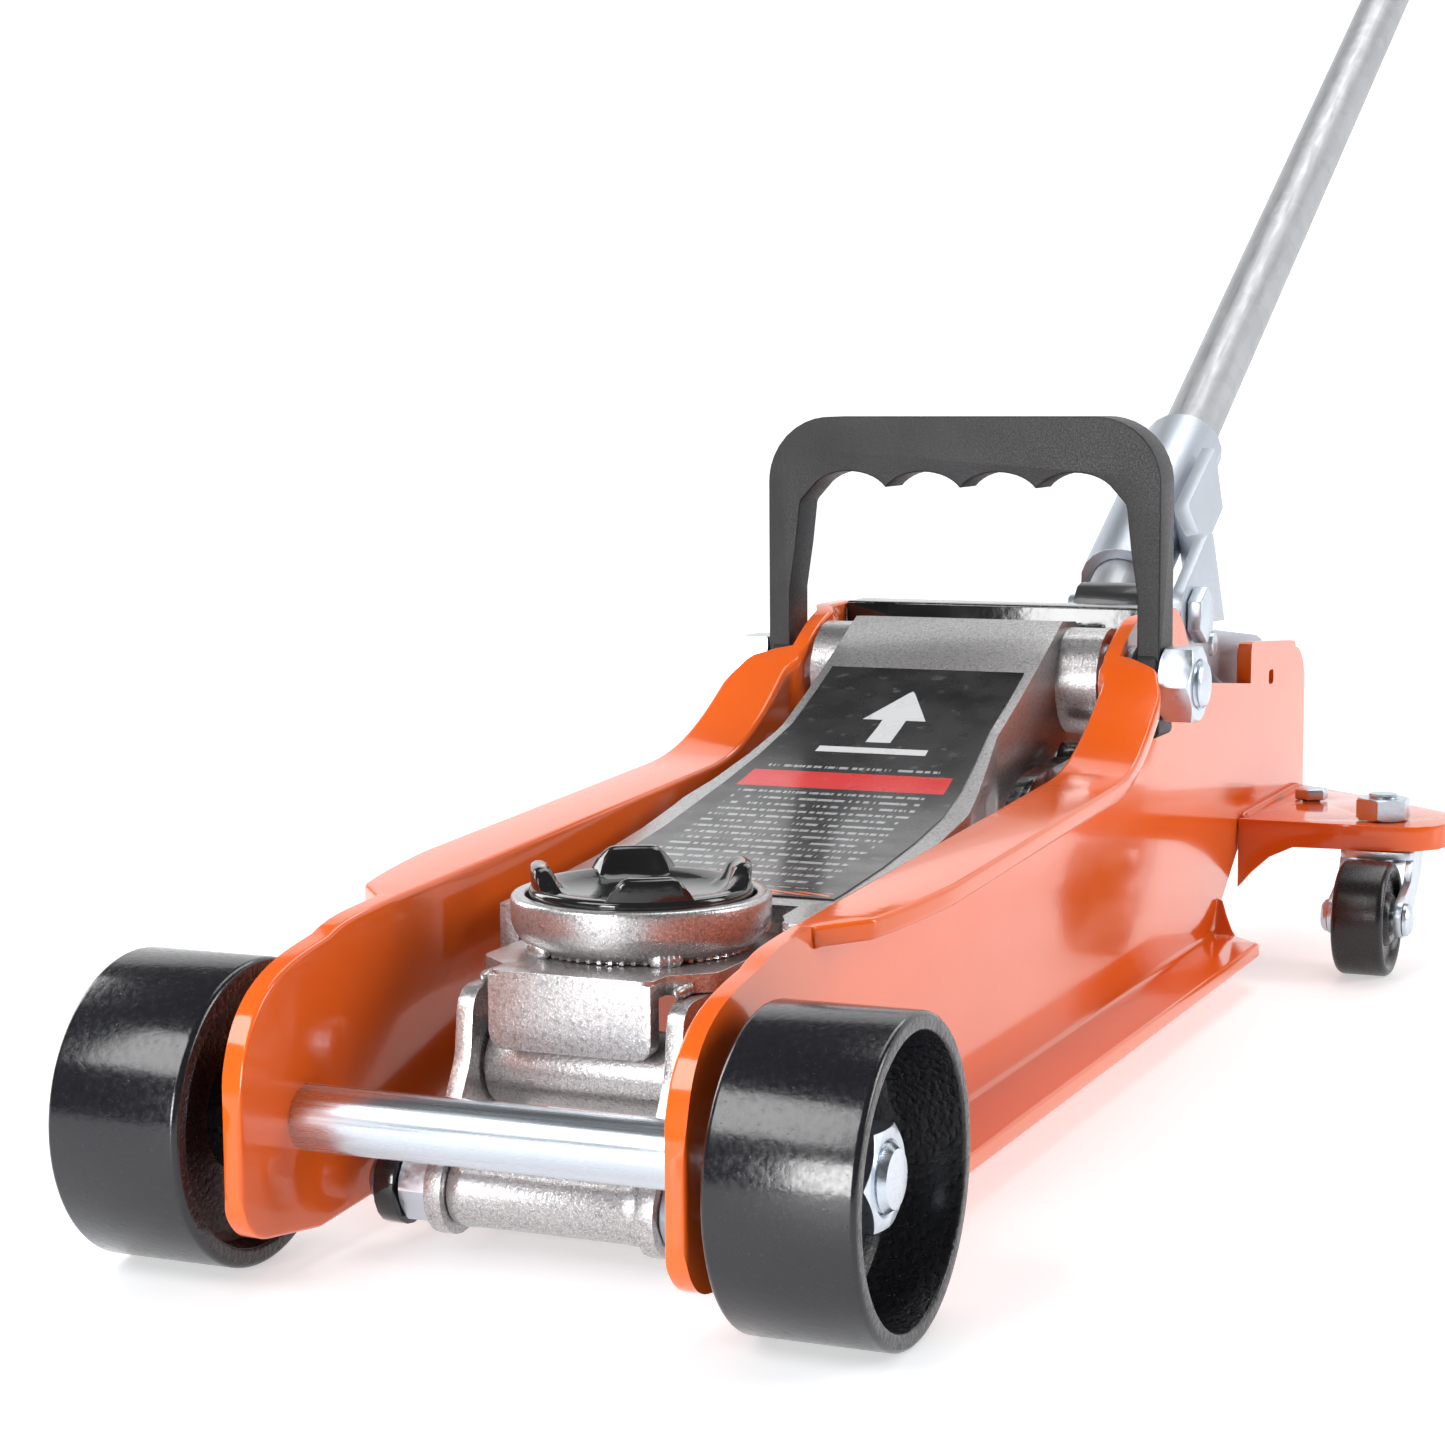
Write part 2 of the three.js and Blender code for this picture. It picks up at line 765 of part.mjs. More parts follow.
add(
  "lift_cylinder",
  cut(
    bar("y", cylinderRadius, cylinderFront, blockFront - gap, 0, unitAxis, 32),
    bar("y", ramRadius + fit, cylinderFront - 5, blockFront + 5, 0, unitAxis),
  ),
  darkSteel,
);
add("ram", bar("y", ramRadius, crossY + 14 + gap, ramRear, 0, unitAxis), zinc);
add(
  "ram_head",
  cut(
    block(-headHalf, headHalf, crossY - 14, crossY + 14, headBottom, headTop),
    block(-headHalf - 1, headHalf + 1, crossY - slotHalf, crossY + slotHalf, unitAxis - 14, unitAxis + 13),
  ),
  darkSteel,
);

// A coil spring as one closed tube, along an axis given by a placing matrix.
function coil(radius, wire, length, turns, place) {
  class Helix extends THREE.Curve {
    getPoint(t) {
      const angle = 2 * Math.PI * turns * t;
      return new THREE.Vector3(radius * Math.cos(angle), radius * Math.sin(angle), length * t);
    }
  }
  const section = new THREE.Shape(circle(0, 0, wire, 4));
  const extrudePath = new Helix();
  return solid(new THREE.ExtrudeGeometry(section, { steps: turns * 8, extrudePath }), place);
}

const springFrom = crossY + 14 + 1.4;
const springLength = blockFront - springFrom - 1.4;
for (const [hand, side] of bothSides) {
  const place = frameAt(side * springX, springFrom, springZ, right, up.clone().negate(), back);
  add("return_spring_" + hand, coil(3.2, 0.9, springLength, 6, place), zinc);
  const trunnion = bar("x", trunnionPin.radius, blockHalf + gap, frameInner - gap, trunnionPin.y, unitAxis);
  add("unit_trunnion_" + hand, mirrored(trunnion, side), zinc);
}
add("filler_plug", bar("z", plug.radius, blockTop - 7, blockTop + 2, plug.x, plug.y, smallSides), zinc);
add("rear_tie_bar", bar("x", tieBar.radius, -frameInner + gap, frameInner - gap, tieBar.y, tieBar.z), zinc);

// Pump plunger, its spring, and the release valve.
const rollerY = yokePivot.y + rollerArm * Math.cos(turn(rollerDrop));
const rollerZ = yokePivot.z - rollerArm * Math.sin(turn(rollerDrop));
const plungerTop = rollerZ - rollerRadius - gap;
const plungerCollar = 1.6;
add(
  "pump_plunger",
  join(
    bar("z", plunger.radius, plunger.bottom, plungerTop, 0, plunger.y),
    bar("z", plunger.radius + 4.5, plungerTop - plungerCollar, plungerTop, 0, plunger.y),
  ),
  zinc,
);
const plungerSpringFrom = blockTop + 3 + 1.3;
add(
  "plunger_spring",
  coil(
    plunger.radius + 2.3,
    0.9,
    plungerTop - plungerCollar - 1.3 - plungerSpringFrom,
    3,
    frameAt(0, plunger.y, plungerSpringFrom, right, back, up),
  ),
  zinc,
);
add(
  "release_valve",
  cut(
    join(
      bar("y", valve.radius, blockRear - 20, blockRear + 6, 0, valve.z),
      bar("y", valve.head, blockRear + 0.6, blockRear + 8, 0, valve.z),
    ),
    block(-2, 2, blockRear + 5, blockRear + 9, 0, 100),
  ),
  zinc,
);

// ---------------------------------------------------------------- handle yoke and handle
const tilt = turn(handleTilt);
const along = new THREE.Vector3(0, Math.cos(tilt), Math.sin(tilt));
const above = new THREE.Vector3(0, -Math.sin(tilt), Math.cos(tilt));
// The handle's own place: X stays, local Y runs up the handle, local Z stands square to it.
const yokePlace = frameAt(0, yokePivot.y, yokePivot.z, right, along, above);
const handleBar = (radius, from, to) => bar("y", radius, from, to, 0, -handleDrop);

function handleYoke() {
  const cheekOuter = cheekInner + cheekThick;
  const strip = outline([
    [cheekOuter, -16],
    [cheekOuter, 36, 14],
    [19, 92, 14],
    [19, socketEnd - 22],
    [14, socketEnd - 22],
    [14, 90, 14],
    [cheekInner, 34, 14],
    [cheekInner, -16],
  ]);
  const side = outline([
    [-13, -9, 8],
    [-13, 13, 8],
    [30, 13, 14],
    [70, -14, 20],
    [socketEnd - 22, -handleDrop + 13],
    [socketEnd - 22, -handleDrop - 13],
    [60, -handleDrop - 12, 12],
    [20, -16, 14],
  ]);
  const silhouette = slab(side, 0, cheekOuter + 1);
  const socket = handleBar(socketRadius, socketStart, socketEnd);
  const body = join(plan(strip, -90, 50).intersect(silhouette), socket).transform(yokePlace.elements);
  const tail = slab(
    outline([
      [yokePivot.y, yokePivot.z + 4],
      [yokePivot.y, yokePivot.z - 12, 4],
      [446, 94, 12],
      [470, 87, 6],
      [tailEnd, 86, 4],
      [tailEnd, 102, 5],
      [tailEnd - 11, 105, 8],
      [436, 112, 10],
    ]),
    cheekInner,
    cheekOuter,
  );
  const hollow = handleBar(tubeRadius + fit, socketStart - 30, socketEnd + 5);
  const bore = hollow.transform(yokePlace.elements);
  return cut(
    join(body, tail),
    bore,
    bar("x", yokePivot.bolt + fit, cheekInner - 1, cheekOuter + 1, yokePivot.y, yokePivot.z),
    bar("x", rollerPin + gap, cheekInner - 1, cheekOuter + 1, rollerY, rollerZ, smallSides),
    block(cheekInner - 1, cheekOuter + 1, tailEnd - 23, tailEnd - 13, 90, 99),
  );
}

add("handle_yoke", handleYoke(), hammertone);
const boltEnd = cheekInner + cheekThick + gap;
add(
  "yoke_bolt",
  join(
    bar("x", yokePivot.bolt, lugInner - 4, boltEnd, yokePivot.y, yokePivot.z),
    hexagon("x", 9.5, boltEnd, boltEnd + 4.8, yokePivot.y, yokePivot.z),
  ),
  zinc,
);
add(
  "pump_roller",
  join(
    bar("x", rollerRadius, -rollerHalf, rollerHalf, rollerY, rollerZ),
    bar("x", rollerPin, -rollerHalf - 2, boltEnd + 1, rollerY, rollerZ, smallSides),
  ),
  zinc,
);

function tube(radius, from, to) {
  const hollow = handleBar(radius - tubeWall, from - 5, to + 5);
  return cut(handleBar(radius, from, to), hollow).transform(yokePlace.elements);
}
add("handle_tube", tube(tubeRadius, tubeStart, tubeJoint), zinc);
const upperRadius = tubeRadius - tubeWall - fit;
add("handle_extension", tube(upperRadius, tubeJoint - 60, handleEnd - 4), zinc);
add(
  "handle_grip",
  cut(
    handleBar(gripRadius, gripStart, handleEnd),
    handleBar(upperRadius + gap, gripStart - 5, handleEnd - 3),
  ).transform(yokePlace.elements),
  plastic,
);

// ---------------------------------------------------------------- carry handle
function carryHandle() {
  const outer = carryHalf + carryThick;
  const front = [];
  const scallops = 4;
  const openTop = carryTop - 17;
  const openHalf = carryHalf - 3.6;
  const pitch = (2 * openHalf - 16) / scallops;
  for (let i = 0; i < scallops; i++) {
    const x0 = openHalf - 8 - i * pitch;
    const x1 = x0 - pitch;
    const low = openTop - 5;
    const high = openTop + 1;
    const scallop = curve([x0, low], [x0 - 5, high], [x1 + 5, high], [x1, low], 5);
    front.push(...scallop.slice(i ? 1 : 0));
  }
  const opening = [
    new THREE.Vector2(-carryHalf, pivot.z + 24),
    new THREE.Vector2(carryHalf, pivot.z + 24),
    new THREE.Vector2(openHalf + 1.5, pivot.z + 34),
    new THREE.Vector2(openHalf, openTop - 14),
    ...front,
    new THREE.Vector2(-openHalf, openTop - 14),
    new THREE.Vector2(-openHalf - 1.5, pivot.z + 34),
  ];
  const loop = face(
    outline([
      [-outer, pivot.z - 16],
      [outer, pivot.z - 16],
      [outer, carryTop, 20],
      [-outer, carryTop, 20],
    ]),
    pivot.y - carryDepth / 2,
    pivot.y + carryDepth / 2,
  );
  const window = face(opening, pivot.y - carryDepth, pivot.y + carryDepth);
  const between = block(-carryHalf, carryHalf, pivot.y - 20, pivot.y + 20, 0, pivot.z + 24.1);
  const boss = bar("x", carryBoss, carryHalf, outer, pivot.y, pivot.z);
  const bosses = bothSides.map(([, side]) => mirrored(boss, side));
  return cut(
    join(cut(loop, window, between), ...bosses),
    bar("x", pivot.thread + fit, -outer - 1, outer + 1, pivot.y, pivot.z),
  );
}
add("carry_handle", carryHandle(), plastic);

// ---------------------------------------------------------------- rear wings and casters
const screw = { x: frameOuter + 13, y: wingFront + 55, radius: 3 };

function wing() {
  const edge = (inset) => [
    [frameOuter + gap, wingFront + inset],
    [wingOut - inset, wingFront + inset, 16 - inset],
    [wingOut - inset, 466, 14 - inset],
    [frameOuter + 31, 500, 14],
    [frameOuter + gap, 524],
  ];
  const deck = plan(outline(edge(0)), wingTop - wingThick, wingTop);
  const inside = plan(outline(edge(wingThick)), 10, wingTop - wingThick);
  const shell = cut(plan(outline(edge(0)), 20, wingTop), inside);
  const hem = face(
    outline([
      [frameOuter + gap, 25],
      [frameOuter + 5, 30.5],
      [frameOuter + 11, 36],
      [frameOuter + 19, 39.8],
      [wingOut, 40.5],
      [wingOut, wingTop - 1],
      [frameOuter + gap, wingTop - 1],
    ]),
    wingFront - 1,
    464,
  );
  return cut(
    join(deck, shell.intersect(hem)),
    bar("z", 5 + gap, 30, 60, casterX, casterY, smallSides),
    bar("z", screw.radius + gap, 30, 60, screw.x, screw.y, smallSides),
    block(frameOuter, frameOuter + 10, wingFront + wingThick, 470, 15, wingTop - wingThick),
  );
}

const forkTop = casterRadius * 2 + 1.2;
const axleY = casterY - casterTrail;
const legInner = casterWidth / 2 + 1.2;

function casterFork() {
  const deck = plan(
    outline([
      [casterX - legInner - 2.5, casterY - 12, 3],
      [casterX + legInner + 2.5, casterY - 12, 3],
      [casterX + legInner + 2.5, casterY + 14, 10],
      [casterX - legInner - 2.5, casterY + 14, 10],
    ]),
    forkTop - 2.4,
    forkTop,
  );
  const leg = outline([
    [casterY - 8, forkTop - 0.5],
    [casterY - 13, 30],
    [axleY - 6, casterRadius + 5, 5],
    [axleY - 6, casterRadius - 6, 6],
    [axleY + 8, casterRadius - 6, 6],
    [casterY + 6, 32, 8],
    [casterY + 9, forkTop - 0.5],
  ]);
  const legs = bothSides.map(([, side]) => {
    const start = casterX + (side > 0 ? legInner : -legInner - 2.5);
    return slab(leg, start, start + 2.5);
  });
  return cut(
    join(deck, ...legs),
    bar("z", 5 + fit, 20, 60, casterX, casterY, smallSides),
    bar("x", 3 + gap, 0, 200, axleY, casterRadius, smallSides),
  );
}

function casterWheel() {
  const half = casterWidth / 2;
  const across = [
    [3 + fit, -half],
    [8, -half],
    [9, -half + 2],
    [casterRadius - 4, -half + 2],
    [casterRadius - 3, -half],
    [casterRadius - 1, -half],
    [casterRadius, -half + 1.5],
    [casterRadius, half - 1.5],
    [casterRadius - 1, half],
    [casterRadius - 3, half],
    [casterRadius - 4, half - 2],
    [9, half - 2],
    [8, half],
    [3 + fit, half],
    [3 + fit, -half],
  ];
  return turned(across, 24, frameAt(casterX, axleY, casterRadius, back, up, right));
}

const rivetHalf = legInner + 2.5 + gap;
const casterRivet = join(
  bar("x", 3, casterX - rivetHalf - 2, casterX + rivetHalf + 2, axleY, casterRadius, smallSides),
  bar("x", 5.5, casterX + rivetHalf, casterX + rivetHalf + 2.5, axleY, casterRadius, smallSides),
  bar("x", 5.5, casterX - rivetHalf - 2.5, casterX - rivetHalf, axleY, casterRadius, smallSides),
);
const kingpin = join(
  bar("z", 5, forkTop - 3.5, wingTop + 9.5, casterX, casterY, smallSides),
  bar("z", 8.5, forkTop - 5.4, forkTop - 2.4 - gap, casterX, casterY, smallSides),
  bar("z", 10, forkTop + gap, wingTop - wingThick - gap, casterX, casterY, smallSides),
  hexagon("z", 9.4, wingTop + gap, wingTop + 7.5, casterX, casterY),
);
const wingScrew = join(
  bar("z", screw.radius, wingTop - 8, wingTop + 1, screw.x, screw.y, smallSides),
  hexagon("z", screw.radius * 2, wingTop + gap, wingTop + 4, screw.x, screw.y),
);
for (const [hand, side] of bothSides) {
  add("caster_wing_" + hand, mirrored(wing(), side), paint);
  add("caster_fork_" + hand, mirrored(casterFork(), side), zinc);
  add("caster_wheel_" + hand, mirrored(casterWheel(), side), plastic);
  add("caster_rivet_" + hand, mirrored(casterRivet, side), zinc);
  add("caster_kingpin_" + hand, mirrored(kingpin, side), zinc);
  add("wing_screw_" + hand, mirrored(wingScrew, side), zinc);
}

// ---------------------------------------------------------------- origin
const box = new THREE.Box3().setFromObject(jack, true);
const centre = box.getCenter(new THREE.Vector3());
jack.position.set(0, -centre.y, -box.min.z);
const assembly = new THREE.Group();
assembly.add(jack);

export default assembly;
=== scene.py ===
"""Low-profile hydraulic floor jack: the detailed pieces and finishes built round the fixed frame."""

import logging
import math
from dataclasses import dataclass, field
from enum import Enum
from typing import Callable, Sequence

import bmesh
import bpy
import numpy as np
from bpy.types import Material, NodeSocket, Object
from mathutils import Matrix, Vector


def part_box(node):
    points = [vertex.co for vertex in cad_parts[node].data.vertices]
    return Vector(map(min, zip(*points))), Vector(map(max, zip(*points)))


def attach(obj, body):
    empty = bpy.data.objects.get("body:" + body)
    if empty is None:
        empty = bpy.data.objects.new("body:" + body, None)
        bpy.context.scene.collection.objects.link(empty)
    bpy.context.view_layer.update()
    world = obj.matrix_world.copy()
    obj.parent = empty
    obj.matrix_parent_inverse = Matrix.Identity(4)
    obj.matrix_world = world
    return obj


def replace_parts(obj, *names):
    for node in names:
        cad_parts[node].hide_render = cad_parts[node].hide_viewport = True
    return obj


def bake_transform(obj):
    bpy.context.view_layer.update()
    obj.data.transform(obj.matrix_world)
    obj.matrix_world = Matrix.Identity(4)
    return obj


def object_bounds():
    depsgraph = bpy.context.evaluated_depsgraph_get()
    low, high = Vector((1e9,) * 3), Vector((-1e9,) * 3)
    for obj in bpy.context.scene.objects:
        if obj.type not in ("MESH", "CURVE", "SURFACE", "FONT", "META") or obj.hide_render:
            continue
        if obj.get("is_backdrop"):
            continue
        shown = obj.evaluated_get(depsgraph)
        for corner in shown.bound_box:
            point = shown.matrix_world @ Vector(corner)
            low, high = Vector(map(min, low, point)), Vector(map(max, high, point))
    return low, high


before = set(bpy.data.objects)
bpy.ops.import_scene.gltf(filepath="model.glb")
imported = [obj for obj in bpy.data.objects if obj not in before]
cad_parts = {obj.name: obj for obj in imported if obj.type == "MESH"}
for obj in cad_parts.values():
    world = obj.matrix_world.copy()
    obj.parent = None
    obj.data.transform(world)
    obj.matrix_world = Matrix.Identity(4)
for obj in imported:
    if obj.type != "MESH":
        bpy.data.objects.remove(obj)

LOG = logging.getLogger("floor_jack")
MM = 0.001
RIGHT = Vector((1.0, 0.0, 0.0))
BACK = Vector((0.0, 1.0, 0.0))
UP = Vector((0.0, 0.0, 1.0))
WELD = 0.01 * MM  # vertices closer than this are one
AXLE_Y = (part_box("front_axle")[0].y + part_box("front_axle")[1].y) / 2

Colour = tuple[float, float, float]
Triple = tuple[float, float, float]  # a place or a scale along X, Y and Z
Profile = Sequence[tuple[float, float]]


class Side(Enum):
    """The two sides of the jack, with the sign of X on each."""

    LEFT = -1
    RIGHT = 1

    @property
    def word(self) -> str:
        """The word that ends the names of this side's nodes."""
        return self.name.lower()


def at(x: float, y: float, z: float) -> Vector:
    """A point given in millimetres from the floor under the front axle."""
    return Vector((x * MM, AXLE_Y + y * MM, z * MM))


def middle(node: str) -> Vector:
    """The middle of a frame node's box."""
    low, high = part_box(node)
    return (low + high) / 2


def extent(node: str) -> Vector:
    """The size of a frame node's box."""
    low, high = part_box(node)
    return high - low


# ------------------------------------------------------------------ bench work


def alone(piece: Object) -> Object:
    """Makes a piece the only selected one, and the active one.

    Args:
        piece: The piece to work on.

    Returns:
        The same piece.
    """
    bpy.ops.object.select_all(action="DESELECT")
    piece.select_set(True)
    bpy.context.view_layer.objects.active = piece
    return piece


def open_up(piece: Object) -> None:
    """Enters edit mode on a piece with all of it selected."""
    alone(piece)
    bpy.ops.object.mode_set(mode="EDIT")
    bpy.ops.mesh.select_all(action="SELECT")


def close_up() -> None:
    """Leaves edit mode."""
    bpy.ops.object.mode_set(mode="OBJECT")


def drawn(name: str, points: Sequence[Vector], fill: bool = True) -> Object:
    """Draws a line by extruding one vertex from point to point.

    Args:
        name: The name of the new piece.
        points: The corners of the line.
        fill: Whether the line closes on itself and gets a face.

    Returns:
        The new piece.
    """
    bpy.ops.object.select_all(action="DESELECT")
    bpy.ops.mesh.primitive_plane_add(size=MM, location=points[0])
    piece = bpy.context.object
    piece.name = name
    piece.data.name = name
    bpy.ops.object.transform_apply(location=True, rotation=True, scale=True)
    open_up(piece)
    bpy.ops.mesh.merge(type="CENTER")
    for here, there in zip(points, points[1:]):
        bpy.ops.mesh.extrude_vertices_move(TRANSFORM_OT_translate={"value": there - here})
    if fill:
        bpy.ops.mesh.select_all(action="SELECT")
        bpy.ops.mesh.edge_face_add()
    close_up()
    return piece


def pressed(name: str, points: Sequence[Vector], depth: Vector) -> Object:
    """Extrudes a closed flat outline into a plate.

    Args:
        name: The name of the new piece.
        points: The corners of the outline.
        depth: The way and the distance that the face is extruded.

    Returns:
        The new piece.
    """
    piece = drawn(name, points)
    open_up(piece)
    bpy.ops.mesh.extrude_region_move(TRANSFORM_OT_translate={"value": depth})
    bpy.ops.mesh.select_all(action="SELECT")
    bpy.ops.mesh.normals_make_consistent(inside=False)
    close_up()
    return piece


def turned(name: str, profile: Profile, centre: Vector, axis: Vector, steps: int = 64) -> Object:
    """Spins a profile about an axis, as on a lathe.

    Args:
        name: The name of the new piece.
        profile: Points of radius and distance along the axis, in millimetres. It starts and
            ends on the axis, or else it closes on itself.
        centre: The point that the distances are measured from.
        axis: The way along the axis.
        steps: How many facets go round.

    Returns:
        The new piece.
    """
    spoke = UP if abs(axis.z) < 0.9 else RIGHT
    spoke = (spoke - axis * spoke.dot(axis)).normalized()
    points = [centre + spoke * (r * MM) + axis * (h * MM) for r, h in profile]
    ring = profile[0][0] > 0
    piece = drawn(name, points, fill=ring)
    open_up(piece)
    if ring:
        bpy.ops.mesh.delete(type="ONLY_FACE")
        bpy.ops.mesh.select_all(action="SELECT")
    bpy.ops.mesh.spin(steps=steps, angle=math.tau, center=centre, axis=axis)
    bpy.ops.mesh.select_all(action="SELECT")
    bpy.ops.mesh.remove_doubles(threshold=WELD)
    bpy.ops.mesh.normals_make_consistent(inside=False)
    close_up()
    return smooth(piece)


def smooth(piece: Object, angle: float = 32.0) -> Object:
    """Shades a piece smooth where its faces meet at less than an angle in degrees."""
    alone(piece)
    bpy.ops.object.shade_smooth_by_angle(angle=math.radians(angle))
    return piece


def soften(piece: Object, width: float, segments: int = 2, angle: float = 32.0) -> Object:
    """Rounds a piece's sharp edges and applies the rounding.

    Args:
        piece: The piece.
        width: How far the rounding reaches from the edge, in millimetres.
        segments: How many faces make the rounding.
        angle: Edges sharper than this many degrees are rounded.

    Returns:
        The same piece.
    """
    alone(piece)
    bevel = piece.modifiers.new("rounding", "BEVEL")
    bevel.width = width * MM
    bevel.segments = segments
    bevel.limit_method = "ANGLE"
    bevel.angle_limit = math.radians(angle)
    bevel.miter_outer = "MITER_ARC"
    bpy.ops.object.modifier_apply(modifier=bevel.name)
    return smooth(piece)


def combine(piece: Object, tool: Object, operation: str) -> Object:
    """Cuts, joins or intersects a piece with a tool, and clears the tool away.

    Args:
        piece: The piece that stays.
        tool: The piece that is used up.
        operation: DIFFERENCE, UNION or INTERSECT.

    Returns:
        The piece.
    """
    alone(piece)
    step = piece.modifiers.new("combine", "BOOLEAN")
    step.operation = operation
    step.object = tool
    step.solver = "EXACT"
    bpy.ops.object.modifier_apply(modifier=step.name)
    bpy.data.objects.remove(tool, do_unlink=True)
    return piece


def refined(node: str, name: str, width: float, segments: int = 2, angle: float = 32.0) -> Object:
    """A frame node's own shape with its flat faces merged and its edges rounded.

    Args:
        node: The frame node.
        name: The name of the new piece.
        width: The rounding of its edges in millimetres.
        segments: How many faces make the rounding.
        angle: Edges sharper than this many degrees are rounded.

    Returns:
        The new piece.
    """
    piece = bpy.data.objects.new(name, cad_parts[node].data.copy())
    piece.data.materials.clear()
    bpy.context.scene.collection.objects.link(piece)
    open_up(piece)
    bpy.ops.mesh.remove_doubles(threshold=WELD)
    bpy.ops.mesh.dissolve_limited(angle_limit=math.radians(1.0))
    close_up()
    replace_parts(piece, node)
    return soften(piece, width, segments, angle)


def lofted(name: str, rows: Sequence[Sequence[Vector]], closed: bool = False) -> Object:
    """A skin through rows of points, with as many points in each row.

    Args:
        name: The name of the new piece.
        rows: The rows, in order.
        closed: Whether each row is a loop, which makes the skin a solid with flat ends.

    Returns:
        The new piece, with a UV map that runs across the rows and along them.
    """
    mesh = bpy.data.meshes.new(name)
    skin = bmesh.new()
    layer = skin.loops.layers.uv.new("skin")
    grid = [[skin.verts.new(point) for point in row] for row in rows]
    count, along = len(rows[0]), len(rows) - 1
    across = count if closed else count - 1
    for j in range(along):
        for i in range(across):
            corners = ((j, i), (j, i + 1), (j + 1, i + 1), (j + 1, i))
            sheet = skin.faces.new([grid[b][a % count] for b, a in corners])
            for loop, (b, a) in zip(sheet.loops, corners):
                loop[layer].uv = (a / across, b / along)
    if closed:
        skin.faces.new(grid[0])
        skin.faces.new(grid[-1])
    bmesh.ops.remove_doubles(skin, verts=skin.verts, dist=WELD)
    bmesh.ops.dissolve_degenerate(skin, dist=WELD, edges=skin.edges)
    bmesh.ops.recalc_face_normals(skin, faces=skin.faces)
    skin.to_mesh(mesh)
    skin.free()
    piece = bpy.data.objects.new(name, mesh)
    bpy.context.scene.collection.objects.link(piece)
    return piece


def thickened(piece: Object, thickness: float, offset: float) -> Object:
    """Gives a skin its thickness, and applies it.

    Args:
        piece: The skin.
        thickness: In millimetres.
        offset: 1 or -1, the side of the skin that the wall grows on.

    Returns:
        The same piece.
    """
    alone(piece)
    wall = piece.modifiers.new("wall", "SOLIDIFY")
    wall.thickness = thickness * MM
    wall.offset = offset
    wall.use_even_offset = True
    bpy.ops.object.modifier_apply(modifier=wall.name)
    return piece


def mirrored(piece: Object, name: str) -> Object:
    """A copy of a piece on the other side of the middle plane, with its own mesh.

    Args:
        piece: The piece to copy.
        name: The name of the copy.

    Returns:
        The copy.
    """
    twin = bpy.data.objects.new(name, piece.data.copy())
    bpy.context.scene.collection.objects.link(twin)
    open_up(twin)
    bpy.ops.transform.resize(value=(-1, 1, 1), center_override=(0, 0, 0))
    bpy.ops.mesh.flip_normals()
    close_up()
    return twin


def joined(name: str, pieces: Sequence[Object]) -> Object:
    """Several pieces made one, with the first one's mesh as the start.

    Args:
        name: The name of the joined piece.
        pieces: The pieces to join.

    Returns:
        The first piece, which now holds them all.
    """
    alone(pieces[0])
    for piece in pieces[1:]:
        piece.select_set(True)
    bpy.ops.object.join()
    pieces[0].name = name
    return pieces[0]


def hex_nut(name: str, radius: float, bore: float, start: Vector, axis: Vector, height: float) -> Object:
    """A hexagon nut or bolt head with chamfered corners.

    Args:
        name: The name of the new piece.
        radius: From the axis to a corner, in millimetres.
        bore: The radius of the hole, or 0 for a bolt head.
        start: The middle of its inner face.
        axis: The way from the inner face to the outer one.
        height: Between the two faces, in millimetres.

    Returns:
        The new piece.
    """
    across = radius * math.cos(math.radians(30))
    side = RIGHT.cross(axis) if abs(axis.x) < 0.9 else UP.cross(axis)
    side.normalize()
    other = axis.cross(side)
    corners = []
    for i in range(6):
        angle = math.tau * i / 6
        corners.append(start + (side * math.cos(angle) + other * math.sin(angle)) * (radius * MM))
    nut = pressed(name, corners, axis * (height * MM))
    cone = [(0, -1), (across + 0.1, -1), (across + 0.2, 0), (radius + 0.1, (radius - across) * 0.6)]
    cone += [(radius + 0.1, height - (radius - across) * 0.6), (across, height), (0, height)]
    combine(nut, turned("chamfer", cone, start, axis, 48), "INTERSECT")
    if bore:
        hole = [(0, -1), (bore, -1), (bore, height - 0.7), (bore + 1.2, height + 0.5), (0, height + 0.5)]
        combine(nut, turned("bore", hole, start, axis, 32), "DIFFERENCE")
    return soften(nut, 0.35, 2, 28)


def thread(radius: float, start: float, end: float, pitch: float = 1.5) -> list[tuple[float, float]]:
    """The ridged outline of a threaded end, as profile points.

    Args:
        radius: Over the crests, in millimetres.
        start: Where the thread starts along the axis.
        end: Where it ends.
        pitch: From crest to crest.

    Returns:
        The points, from start to a chamfered end.
    """
    points = []
    place = start
    while place < end - pitch:
        points += [(radius - pitch * 0.45, place), (radius, place + pitch * 0.5)]
        place += pitch
    return points + [(radius - pitch * 0.45, place), (radius - 1.2, end)]


def weld_run(name: str, path: Sequence[Vector], radius: float, ripple: float = 2.2) -> Object:
    """A rippled weld bead along a path.

    Args:
        name: The name of the new piece.
        path: Points along the seam, close together.
        radius: Of the bead, in millimetres.
        ripple: From one ripple to the next, in millimetres.

    Returns:
        The new piece.
    """
    lengths = [0.0]
    for here, there in zip(path, path[1:]):
        lengths.append(lengths[-1] + (there - here).length / MM)
    stations = np.arange(0.0, lengths[-1], ripple / 4)
    track = [np.interp(stations, lengths, [p[i] for p in path]) for i in range(3)]
    centres = [Vector(p) for p in zip(*track)]
    rows = []
    for i, centre in enumerate(centres):
        run = (centres[min(i + 1, len(centres) - 1)] - centres[max(i - 1, 0)]).normalized()
        side = run.cross(UP if abs(run.z) < 0.9 else RIGHT).normalized()
        rise = side.cross(run)
        ends = min(1.0, 0.25 + min(i, len(centres) - 1 - i) / 4)
        size = radius * ends * (1 + 0.13 * math.sin(math.tau * stations[i] / ripple)) * MM
        angles = [math.tau * k / 12 for k in range(12)]
        rows.append([centre + (side * math.cos(t) + rise * math.sin(t)) * size for t in angles])
    return smooth(lofted(name, rows, closed=True), 60)


